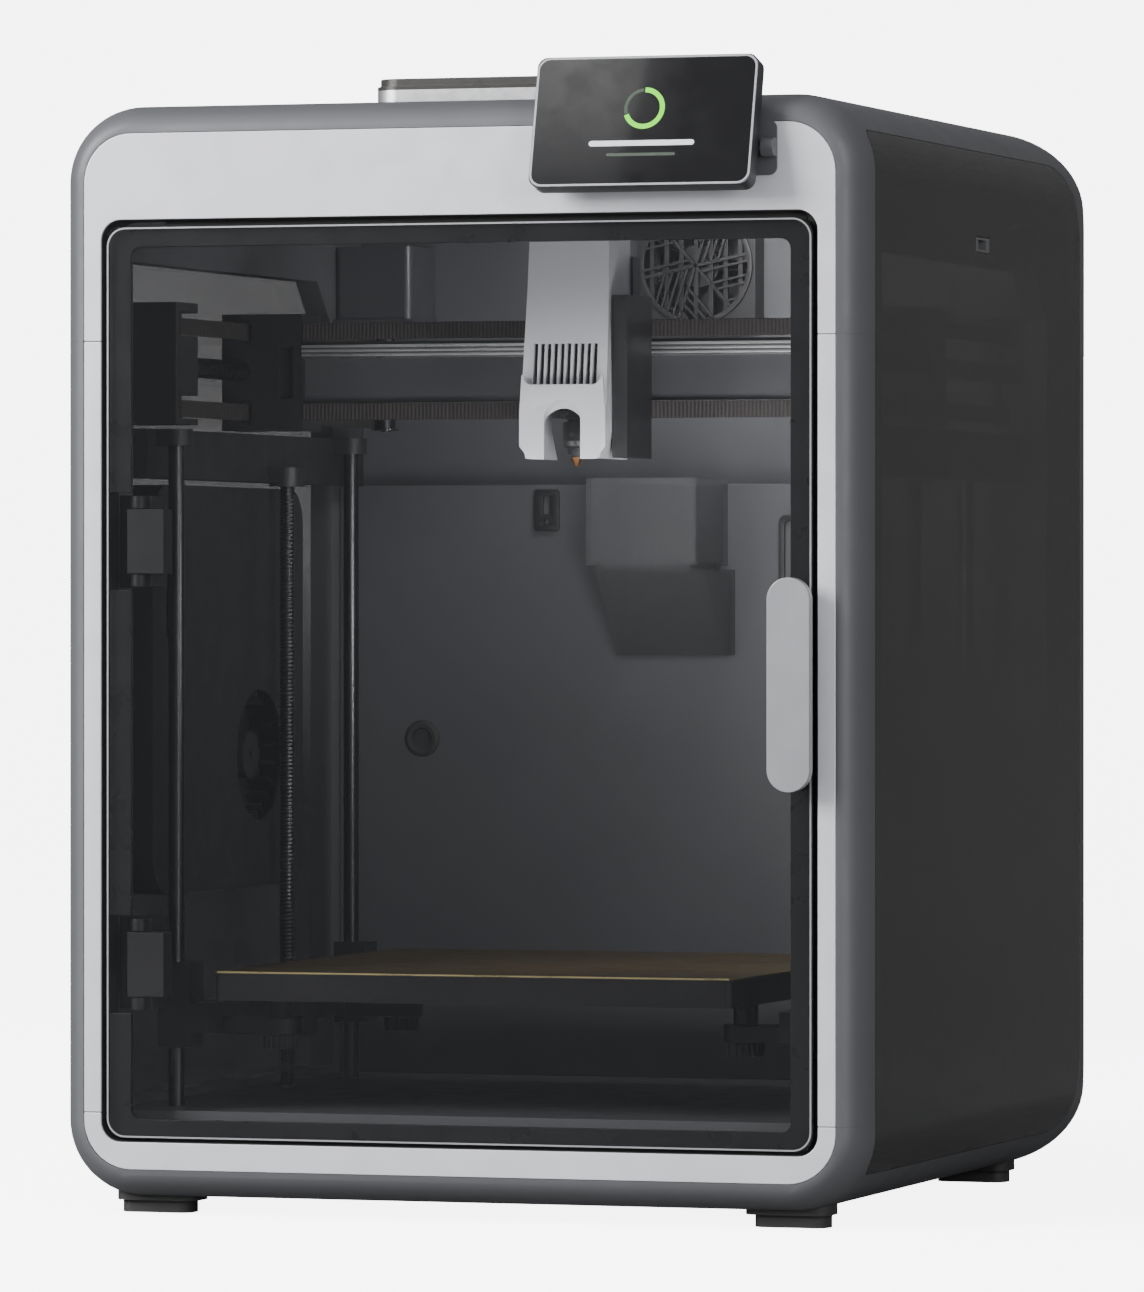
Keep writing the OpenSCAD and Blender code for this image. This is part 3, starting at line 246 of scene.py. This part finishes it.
def two_tone(name, cover, metal, low, high):
    """Bare metal up to a height and a dark cover above it; the two meet between low and high."""
    m = Nodes(name)
    part = m.remap(m.height(), 0.0, 1.0, low, high)
    m.to(m.ramp(part, [(0.4, metal), (0.6, cover)]), "Base Color")
    m.to(m.remap(part, 1.0, 0.0, 0.4, 0.6), "Metallic")
    m.to(m.remap(m.noise(300, 3), 0.34, 0.46), "Roughness")
    m.bump(m.noise(1500, 3), 0.00003)
    return m.material


MATERIALS = make_materials()
OWN_LOOK = {
    "usb_port": moulded("port_cover", (0.11, 0.111, 0.115), 0.4),
    "lid_handle": two_tone("lid_handle_look", (0.03, 0.027, 0.024), (0.6, 0.605, 0.62), 0.5420, 0.5425),
    "hotend": two_tone("hotend_sleeve", (0.014, 0.014, 0.015), (0.32, 0.16, 0.075), 0.3655, 0.3675),
    "x_rail": grooved("rail_lands", (0.9, 0.905, 0.92), 0.0022),
    "screen_housing": moulded("screen_shell", (0.045, 0.046, 0.05), 0.36, 0.00003, 3000, 0.03,
                              metallic=0.3),
}


# ---------------------------------------------------------------- pieces from the CAD nodes

BEVEL_ABOVE = math.radians(28)
SHARP_ABOVE = math.radians(32)
EDGE_WIDTH = 0.0004
OWN_EDGE_WIDTH = {"hinge_brackets": 0.0003, "mainboard": 0.0002, "xy_pulley_left": 0.0001,
                  "xy_pulley_right": 0.0001}
AROUND = 48


def add_object(name, data):
    thing = bpy.data.objects.new(name, data)
    bpy.context.scene.collection.objects.link(thing)
    return thing


def apply_modifiers(piece):
    graph = bpy.context.evaluated_depsgraph_get()
    mesh = bpy.data.meshes.new_from_object(piece.evaluated_get(graph))
    piece.modifiers.clear()
    piece.data = mesh


def finish_mesh(piece, bevel):
    """Clean planar faces, round every sharp edge a little and shade what is round as round."""
    edit = bmesh.new()
    edit.from_mesh(piece.data)
    bmesh.ops.remove_doubles(edit, verts=edit.verts, dist=2e-6)
    bmesh.ops.dissolve_limit(edit, angle_limit=math.radians(0.6), verts=edit.verts, edges=edit.edges)
    for face in edit.faces:
        face.smooth = True
    edit.to_mesh(piece.data)
    edit.free()
    modifier = piece.modifiers.new("edge", "BEVEL")
    modifier.width = bevel
    modifier.segments = 2
    modifier.limit_method = "ANGLE"
    modifier.angle_limit = BEVEL_ABOVE
    modifier.use_clamp_overlap = True
    modifier.miter_outer = "MITER_SHARP"
    apply_modifiers(piece)
    piece.data.set_sharp_from_angle(angle=SHARP_ABOVE)
    modifier = piece.modifiers.new("flat", "WEIGHTED_NORMAL")
    modifier.keep_sharp = True
    modifier.weight = 80
    apply_modifiers(piece)


def draw_in_rear(mesh, amount=0.0002):
    """Bring a sheet's rear face forward, clear of what is printed behind it."""
    rear = max(vertex.co.y for vertex in mesh.vertices)
    for vertex in mesh.vertices:
        if rear - vertex.co.y < 1e-5:
            vertex.co.y -= amount


def refined(node):
    """A piece with the CAD node's own shape and softened edges, which stands for the node."""
    piece = add_object("fine_" + node, frame["nodes"][node].data.copy())
    if node == "door_glass":
        draw_in_rear(piece.data)
    finish_mesh(piece, OWN_EDGE_WIDTH.get(node, EDGE_WIDTH))
    paint(piece, OWN_LOOK.get(node, MATERIALS[SLOT_OF[node]]))
    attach(piece, BODY_OF[node])
    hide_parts(node)


def paint(piece, *materials):
    piece.data.materials.clear()
    for material in materials:
        piece.data.materials.append(material)


def new_piece(name, edit, material_slot, body, material=None, angle=32):
    """A mesh piece from an edit mesh, painted, and carried by a body."""
    mesh = bpy.data.meshes.new(name)
    for face in edit.faces:
        face.smooth = True
    edit.normal_update()
    edit.to_mesh(mesh)
    edit.free()
    mesh.set_sharp_from_angle(angle=math.radians(angle))
    piece = add_object(name, mesh)
    paint(piece, material or MATERIALS[material_slot])
    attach(piece, body)
    return piece


def bridge(edit, rings):
    """Quads between each closed ring and the next."""
    for lower, upper in zip(rings, rings[1:]):
        for i in range(len(lower)):
            j = (i + 1) % len(lower)
            edit.faces.new((lower[i], lower[j], upper[j], upper[i]))


def strip(edit, rows):
    """Quads between each open row and the next."""
    for a, b in zip(rows, rows[1:]):
        for k in range(len(a) - 1):
            edit.faces.new((a[k], b[k], b[k + 1], a[k + 1]))


def circle(x, y, radius, around):
    """Points round a centre, each as its two coordinates."""
    return [(x + radius * math.cos(math.tau * i / around), y + radius * math.sin(math.tau * i / around))
            for i in range(around)]


def threaded(node):
    """Lead screw with a turned thread along its whole length."""
    pitch, depth, around, rows_per_turn, skin = 0.002, 0.0006, 20, 4, 0.00002
    low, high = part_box(node)
    middle = [(low[i] + high[i]) / 2 for i in (0, 1)]
    radius = min(high[0] - low[0], high[1] - low[1]) / 2 - skin
    rows = int((high[2] - low[2]) / pitch * rows_per_turn)
    edit = bmesh.new()
    rings = []
    for row in range(rows + 1):
        z = low[2] + (high[2] - low[2]) * row / rows
        ring = []
        for i in range(around):
            turn = math.tau * i / around
            wave = abs(((z / pitch - i / around) % 1) * 2 - 1)
            r = radius - depth * min(1, max(0, wave * 2 - 0.5))
            ring.append(edit.verts.new((middle[0] + r * math.cos(turn), middle[1] + r * math.sin(turn), z)))
        rings.append(ring)
    bridge(edit, rings)
    edit.faces.new(list(reversed(rings[0])))
    edit.faces.new(rings[-1])
    piece = new_piece("thread_" + node, edit, SLOT_OF[node], BODY_OF[node], angle=60)
    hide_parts(node)


def turned_y(name, x, y, z, profile, slot, body):
    """Ring turned about a front-to-back axis; the profile gives radius and depth from y."""
    edit = bmesh.new()
    rings = [[edit.verts.new((px, y + depth, pz)) for px, pz in circle(x, z, radius, AROUND)]
             for radius, depth in profile]
    bridge(edit, rings + rings[:1])
    bmesh.ops.recalc_face_normals(edit, faces=edit.faces)
    return new_piece(name, edit, slot, body, angle=28)


def plate(name, outline, holes, depth, thick, slot, body, bevel=0.0):
    """Flat plate seen from the front: outline and holes in X and Z, from the given Y to the back."""
    curve = bpy.data.curves.new(name, "CURVE")
    curve.dimensions = "2D"
    curve.fill_mode = "BOTH"
    curve.extrude = thick / 2 - bevel
    curve.bevel_depth = bevel
    curve.bevel_resolution = 2
    for loop in [outline] + holes:
        spline = curve.splines.new("POLY")
        spline.points.add(len(loop) - 1)
        for point, (x, z) in zip(spline.points, loop):
            point.co = (x, z, 0, 1)
        spline.use_cyclic_u = True
    shape = add_object(name + "_curve", curve)
    mesh = bpy.data.meshes.new_from_object(shape.evaluated_get(bpy.context.evaluated_depsgraph_get()))
    bpy.data.objects.remove(shape)
    upright = Matrix.Rotation(math.radians(90), 4, "X")
    mesh.transform(Matrix.Translation((0, depth + thick / 2, 0)) @ upright)
    edit = bmesh.new()
    edit.from_mesh(mesh)
    bmesh.ops.remove_doubles(edit, verts=edit.verts, dist=1e-6)
    return new_piece(name, edit, slot, body, angle=30)


def rounded(x0, x1, z0, z1, r, inset=0.0):
    """Outline of an upright rectangle with round corners, drawn in all round by the inset."""
    x0, x1, z0, z1, r = x0 + inset, x1 - inset, z0 + inset, z1 - inset, r - inset
    steps = 8
    points = []
    corners = ((x1 - r, z1 - r, 0), (x0 + r, z1 - r, 90), (x0 + r, z0 + r, 180), (x1 - r, z0 + r, 270))
    for cx, cz, start in corners:
        for i in range(steps + 1):
            turn = math.radians(start + 90 * i / steps)
            points.append((cx + r * math.cos(turn), cz + r * math.sin(turn)))
    return points


def pinwheel_grille(x, y, z, radius):
    """Six sectors of slanting bars inside a ring, before the exhaust fan."""
    spoke_half, bar_half, thick = 0.0008, 0.0006, 0.0013
    bars, march, shortest = 6, 0.0004, 0.002
    reach = radius * 0.95
    plate("grille_ring", circle(x, z, radius, 64), [circle(x, z, radius * 0.93, 64)], y, 0.0016,
          "black_plastic", "root", 0.0003)
    edit = bmesh.new()

    def rib(start, end, half):
        a, b = Vector((start[0], y, start[1])), Vector((end[0], y, end[1]))
        along = (b - a).normalized()
        across = Vector((-along.z, 0, along.x)) * half
        flat = [a - across, a + across, b + across, b - across]
        front = [edit.verts.new(p) for p in flat]
        back = [edit.verts.new(p + Vector((0, thick, 0))) for p in flat]
        edit.faces.new(front)
        edit.faces.new(list(reversed(back)))
        for i in range(4):
            edit.faces.new((front[i], back[i], back[(i + 1) % 4], front[(i + 1) % 4]))

    def ahead(start, turn, length):
        return start[0] + length * math.cos(turn), start[1] + length * math.sin(turn)

    def in_sector(point, turn):
        dx, dz = point[0] - x, point[1] - z
        return math.hypot(dx, dz) < reach and (math.atan2(dz, dx) - turn) % math.tau < math.radians(59)

    for sector in range(6):
        turn = math.radians(60 * sector + 12)
        rib((x, z), ahead((x, z), turn, reach), spoke_half)
        slant = turn + math.radians(60)
        for i in range(1, bars + 1):
            foot = ahead((x, z), turn, reach * i / (bars + 1))
            length = 0
            while length < reach and in_sector(ahead(foot, slant, length), turn):
                length += march
            if length > shortest:
                rib(foot, ahead(foot, slant, length), bar_half)
    bmesh.ops.recalc_face_normals(edit, faces=edit.faces)
    new_piece("grille_bars", edit, "black_plastic", "root")


def frame_y(depth):
    """Y in the object's frame of a depth behind the housing's front face."""
    housing_depth = 0.4135
    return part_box("top_housing")[1][1] - housing_depth + depth


def head_skirt():
    """Brighter lower shell of the tool head, with cut corners round the arch."""
    low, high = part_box("toolhead_cover")
    middle = (low[0] + high[0]) / 2
    half = (high[0] - low[0]) / 2 - 0.0002
    base, crown = low[2] + 0.0001, low[2] + 0.036
    cut = 0.0045
    arch_r, arch_z = 0.0096, low[2] + 0.0195
    left = [(middle - half + 0.005, base), (middle - half, base + 0.006), (middle - half, base + 0.022),
            (middle - half + 0.0012, crown + cut)]
    left += [(middle - half + 0.0016 + cut * (1 - math.cos(a)), crown + cut * (1 - math.sin(a)))
             for a in [math.pi / 2 * i / 6 for i in range(7)]]
    right = [(2 * middle - x, z) for x, z in reversed(left)]
    arch = [(middle + arch_r, base), (middle + arch_r, arch_z)]
    arch += [(middle + arch_r * math.cos(a), arch_z + arch_r * math.sin(a))
             for a in [math.pi * i / 16 for i in range(1, 16)]]
    arch += [(middle - arch_r, arch_z), (middle - arch_r, base)]
    plate("head_skirt", left + right + arch, [], low[1] - 0.0006, 0.0016, "head_grey", "toolhead", 0.0003)


def hotend_sleeve():
    """Round dark sleeve over the hot end, seen in the arch, stepping in above the nozzle tip."""
    low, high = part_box("hotend")
    x, y = (low[0] + high[0]) / 2, (low[1] + high[1]) / 2
    profile = [(0.0002, 0.0052), (0.0034, 0.0052), (0.0046, 0.0056), (0.0048, 0.0085), (0.0068, 0.0096),
               (0.0072, 0.0102), (0.0072, 0.0200), (0.0064, 0.0206), (0.0002, 0.0206)]
    edit = bmesh.new()
    rings = [[edit.verts.new((px, py, low[2] + rise)) for px, py in circle(x, y, radius, 40)]
             for radius, rise in profile]
    bridge(edit, rings)
    edit.faces.new(list(reversed(rings[0])))
    edit.faces.new(rings[-1])
    new_piece("hotend_round_sleeve", edit, "black_plastic", "toolhead", angle=40)


def sheet_edge():
    """Bright gold line on the front edge of the coated build sheet: painted highlight of the edge."""
    low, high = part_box("build_sheet")
    side_gap, steps = 0.004, 60
    y = low[1] - 0.00004
    edit = bmesh.new()
    rows = []
    for i in range(steps + 1):
        x = low[0] + side_gap + (high[0] - low[0] - 2 * side_gap) * i / steps
        rows.append([edit.verts.new((x, y, high[2] - 0.0008)), edit.verts.new((x, y, high[2] - 0.00005)),
                     edit.verts.new((x, y + 0.0004, high[2] + 0.00002))])
    strip(edit, rows)
    # painted highlight: a gold far brighter than the sheet's own colour
    edge_highlight = brushed("painted_edge_highlight", (0.9, 0.75, 0.36), 0.3, (0.05, 1, 1))
    new_piece("sheet_edge_highlight", edit, None, "bed", edge_highlight)


def door_edge():
    """Bright silver line on the front edge of the door glass: painted highlight of the edge."""
    low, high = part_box("door_glass")
    box = (low[0], high[0], low[2], high[2], 0.0095)
    # painted highlight: an opaque silver ring on the glass edge
    plate("door_glass_edge_highlight", rounded(*box, 0.0003), [rounded(*box, 0.0011)], low[1] - 0.00003, 0.0002,
          "handle_silver", "door")


def door_seals():
    """Painted shade: a black sheet on the door opening's walls; and the seals behind three edges of the
    door.
    """
    side_gap, low_gap, top_gap, corner = 0.0028, 0.002, 0.0035, 0.01
    play, gap_shade_width, seal_play, seal_left = 0.00004, 0.0003, 0.0004, -0.150
    front = frame_y(0)
    low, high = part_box("door_glass")
    x0, x1 = low[0] - side_gap, high[0] + side_gap
    z0, z1 = low[2] - low_gap, high[2] + top_gap
    opening = (x0, x1, z0, z1, corner)
    # painted shade: a thin black sheet over the opening's walls makes the gap round the door dark
    plate("door_gap_shade_sheet", rounded(*opening, play), [rounded(*opening, play + gap_shade_width)], front + 0.0012,
          0.022, "rubber_black", "root")
    right, bottom, top = x1 - seal_play, z0 + seal_play, z1 - seal_play
    seals = {"seal_right": (x1 - 0.0075, right, bottom, top),
             "seal_top": (seal_left, x1 - 0.0070, z1 - 0.0085, top),
             "seal_low": (seal_left, x1 - 0.0070, bottom, z0 + 0.0070)}
    for name, box in seals.items():
        plate(name, rounded(*box, 0.003), [], front + 0.0076, 0.001, "rubber_black", "root", 0.0002)


def back_wall_details():
    """Cable grommet in the back wall, and the grille and dust screen of the exhaust fan."""
    wall_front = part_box("chamber_back_panel")[0][1]
    grommet = [(0.0002, 0.0012), (0.0052, 0.0012), (0.0056, -0.0012), (0.0076, -0.0016), (0.0092, -0.0008),
               (0.0096, 0.0), (0.0078, 0.0), (0.0078, 0.0018), (0.0002, 0.0018)]
    turned_y("grommet", -0.141, wall_front, 0.2241, grommet, "rubber_black", "root")
    low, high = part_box("exhaust_fan_housing")
    x, z = (low[0] + high[0]) / 2, (low[2] + high[2]) / 2
    pinwheel_grille(x, low[1] - 0.0018, z, 0.0305)
    dust_screen = [(0.0002, 0.0), (0.0274, 0.0), (0.0278, 0.0004), (0.0274, 0.0009), (0.0002, 0.0009)]
    turned_y("dust_screen", x, frame_y(0.4062), z, dust_screen, "black_plastic", "root")


def sensor_and_grille():
    """Small sensor plate on the back wall, and the framed vent grille at its right."""
    lower_wall = frame_y(0.361)
    slot = rounded(-0.0742, -0.0698, 0.3405, 0.3505, 0.001)
    hole = rounded(-0.0738, -0.0702, 0.3350, 0.3386, 0.0017)
    plate("sensor_plate", rounded(-0.0785, -0.0655, 0.3325, 0.3535, 0.0016), [slot, hole],
          lower_wall - 0.0022, 0.002, "black_plastic", "root", 0.0003)
    vent = rounded(0.0540, 0.1140, 0.2240, 0.3400, 0.004)
    vent_hole = rounded(0.0566, 0.1114, 0.2266, 0.3374, 0.0026)
    plate("vent_frame", vent, [vent_hole], lower_wall - 0.0018, 0.0016, "black_plastic", "root", 0.0003)


def glow(name, color, strength):
    """Lit pixels of a display, slightly uneven."""
    m = Nodes(name)
    m.to(m.ramp(m.noise(400, 2), [(0.3, shade(color, 0.85)), (0.7, shade(color, 1.1))]), "Base Color")
    m.set(Emission_Color=(*color, 1), Emission_Strength=strength, Roughness=0.3)
    return m.material


def screen_plane():
    """Middle, right, up and outward directions of the screen's front face."""
    mesh = frame["nodes"]["screen_glass"].data
    best = max(mesh.polygons, key=lambda face: face.area * (face.normal.y < -0.5))
    normal = best.normal.normalized()
    points = [vertex.co for vertex in mesh.vertices if abs((vertex.co - best.center).dot(normal)) < 2e-5]
    right = Vector((1, 0, 0))
    return sum(points, Vector()) / len(points), right, normal.cross(right), normal


def display():
    """Glass sheet with its bright rim, and a generic picture on it: a progress ring and two bars."""
    half_w, half_h, corner = 0.0545, 0.032, 0.0064
    picture_lift, sheet_lift, rim_lift = 0.00006, 0.00003, 0.00002
    middle, right, up, out = screen_plane()

    def loop(edit, points, lift):
        return [edit.verts.new(middle + right * a + up * b + out * lift) for a, b in points]

    def sheet(name, outline, lift, slot, material=None):
        edit = bmesh.new()
        edit.faces.new(loop(edit, outline, lift))
        new_piece(name, edit, slot, "screen", material)

    def rim(name, outline, hole, lift, slot):
        edit = bmesh.new()
        outer, inner = loop(edit, outline, lift), loop(edit, hole, lift)
        for i in range(len(outer)):
            j = (i + 1) % len(outer)
            edit.faces.new((outer[i], outer[j], inner[j], inner[i]))
        new_piece(name, edit, slot, "screen")

    def ring(name, inner, outer, start, end, material):
        edit = bmesh.new()
        steps, centre = 72, 0.006
        turns = [math.radians(start + (end - start) * i / steps) for i in range(steps + 1)]
        strip(edit, [loop(edit, [(r * math.sin(turn), centre + r * math.cos(turn)) for r in (outer, inner)],
                          picture_lift) for turn in turns])
        new_piece(name, edit, None, "screen", material)

    def bar(name, half, y0, y1, material):
        r = (y1 - y0) / 2
        arc = [math.pi * i / 10 for i in range(11)]
        outline = [(half - r + r * math.sin(a), (y0 + y1) / 2 + r * math.cos(a)) for a in arc]
        outline += [(r - half - r * math.sin(a), (y0 + y1) / 2 - r * math.cos(a)) for a in arc]
        sheet(name, outline, picture_lift, None, material)

    face = (-half_w, half_w, -half_h, half_h, corner)
    sheet("screen_sheet", rounded(*face, 0.0012), sheet_lift, "screen_glass")
    rim("screen_rim", rounded(*face, 0.0002), rounded(*face, 0.0012), rim_lift, "handle_silver")
    green = glow("display_green", (0.14, 0.72, 0.01), 0.9)
    pale = glow("display_pale", (0.6, 0.62, 0.64), 0.9)
    dim = glow("display_dim", (0.05, 0.07, 0.05), 0.3)
    ring("display_ring", 0.0078, 0.0102, 0, 250, green)
    ring("display_rest", 0.0082, 0.0098, 254, 356, dim)
    bar("display_bar", 0.026, -0.0125, -0.0098, pale)
    bar("display_bar_low", 0.017, -0.0175, -0.016, dim)


for name in frame["nodes"]:
    if name.startswith("lead_screw"):
        threaded(name)
    else:
        refined(name)
display()
back_wall_details()
head_skirt()
door_edge()
door_seals()
hotend_sleeve()
sheet_edge()
sensor_and_grille()


# ---------------------------------------------------------------- camera, light and floor

def place_camera():
    """Level camera in front and to the right, looking a little to the left."""
    camera = add_object("camera", bpy.data.cameras.new("camera"))
    camera.location = (1.2715, -3.916, 0.2964)
    camera.rotation_euler = (math.radians(90), 0, math.radians(18.05))
    camera.data.sensor_width = 36
    camera.data.lens = 230.3
    camera.data.shift_y = -0.0356
    camera.data.clip_end = 50
    bpy.context.scene.camera = camera


def area_light(name, place, aim, size, power):
    light = add_object(name, bpy.data.lights.new(name, "AREA"))
    light.data.shape = "RECTANGLE"
    light.data.size, light.data.size_y = size
    light.data.energy = power
    light.location = place
    light.rotation_euler = (Vector(aim) - Vector(place)).to_track_quat("-Z", "Y").to_euler()


def stage_object(name, edit, material):
    mesh = bpy.data.meshes.new(name)
    edit.to_mesh(mesh)
    edit.free()
    thing = add_object(name, mesh)
    paint(thing, material)
    return thing


def backdrop():
    """Pale round floor that rises all round into a dome, so that every side of the object has it behind."""
    flat, bend, rise = 7.0, 1.5, 6.0
    profile = [(flat + bend * math.sin(a), bend - bend * math.cos(a))
               for a in [math.radians(15 * i) for i in range(7)]]
    profile += [((flat + bend) * math.cos(a), bend + rise * math.sin(a))
                for a in [math.radians(15 * i) for i in range(1, 6)]]
    edit = bmesh.new()
    rings = [[edit.verts.new((x, y, z)) for x, y in circle(0, 0, r, AROUND)] for r, z in profile]
    bridge(edit, rings[::-1])
    for face in edit.faces:
        face.smooth = True
    edit.faces.new(rings[0])
    edit.faces.new(rings[-1])
    m = Nodes("sweep")
    m.to(m.ramp(m.noise(3, 2), [(0.3, (0.86, 0.865, 0.87)), (0.7, (0.9, 0.9, 0.905))]), "Base Color")
    m.set(Roughness=0.8, Emission_Color=(1, 1, 1, 1), Emission_Strength=6.0)
    floor = stage_object("sweep", edit, m.material)
    floor.visible_diffuse = floor.visible_glossy = floor.visible_shadow = False


def card(name, corners, material):
    """Card that the camera doesn't see and the object reflects."""
    edit = bmesh.new()
    edit.faces.new([edit.verts.new(corner) for corner in corners])
    board = stage_object(name, edit, material)
    board.visible_camera = False
    return board


def grey_card(name, corners, grey):
    card(name, corners, moulded(name, (grey, grey, grey), 0.8))


def sheen_card():
    """Bright card, fading downwards, whose slanting edge shows across the touch screen."""
    y, low, high, left = -2.285, 1.77, 1.95, -0.9
    sheen = Nodes("sheen")
    sheen.to(sheen.remap(sheen.height(), 0.15, 2.6, 1.795, 1.925), "Emission Strength")
    sheen.set(Emission_Color=(1, 1, 1, 1), Roughness=0.9)
    board = card("sheen_card", [(left, y, low), (-0.695, y, low), (-0.684, y, high), (left, y, high)],
                 sheen.material)
    board.visible_diffuse = board.visible_shadow = False


def build_stage():
    world = bpy.data.worlds.new("studio")
    world.use_nodes = True
    world.node_tree.nodes["Background"].inputs["Color"].default_value = (0.95, 0.96, 1, 1)
    world.node_tree.nodes["Background"].inputs["Strength"].default_value = 0.38
    bpy.context.scene.world = world
    backdrop()
    under = -0.006
    grey_card("ground_card", [(-2.5, -3, under), (2.5, -3, under), (2.5, 3, under), (-2.5, 3, under)], 0.22)
    grey_card("back_flag", [(-0.9, 1.5, -0.8), (2.6, 1.5, -0.8), (2.6, 1.5, 2.2), (-0.9, 1.5, 2.2)], 0.14)
    grey_card("side_flag", [(1.6, -0.4, -0.8), (1.6, 1.5, -0.8), (1.6, 1.5, 2.2), (1.6, -0.4, 2.2)], 0.3)
    sheen_card()
    centre = (0, 0, 0.3)
    area_light("key", (-2.3, -2.3, 1.7), centre, (1.7, 1.7), 194)
    area_light("fill", (2.4, -2.2, 1.0), centre, (1.2, 1.6), 45)
    area_light("top", (-0.5, -0.7, 2.4), centre, (1.2, 1.2), 12)
    area_light("chamber_high", (0.09, 0.05, 0.505), (0.08, 0.2, 0.42), (0.16, 0.02), 0.7)
    area_light("chamber_right", (0.115, -0.172, 0.29), (0.09, 0.17, 0.345), (0.05, 0.1), 0.8)
    area_light("chamber_low", (-0.04, -0.165, 0.3), (0.016, -0.08, 0.385), (0.05, 0.05), 0.2)


place_camera()
build_stage()
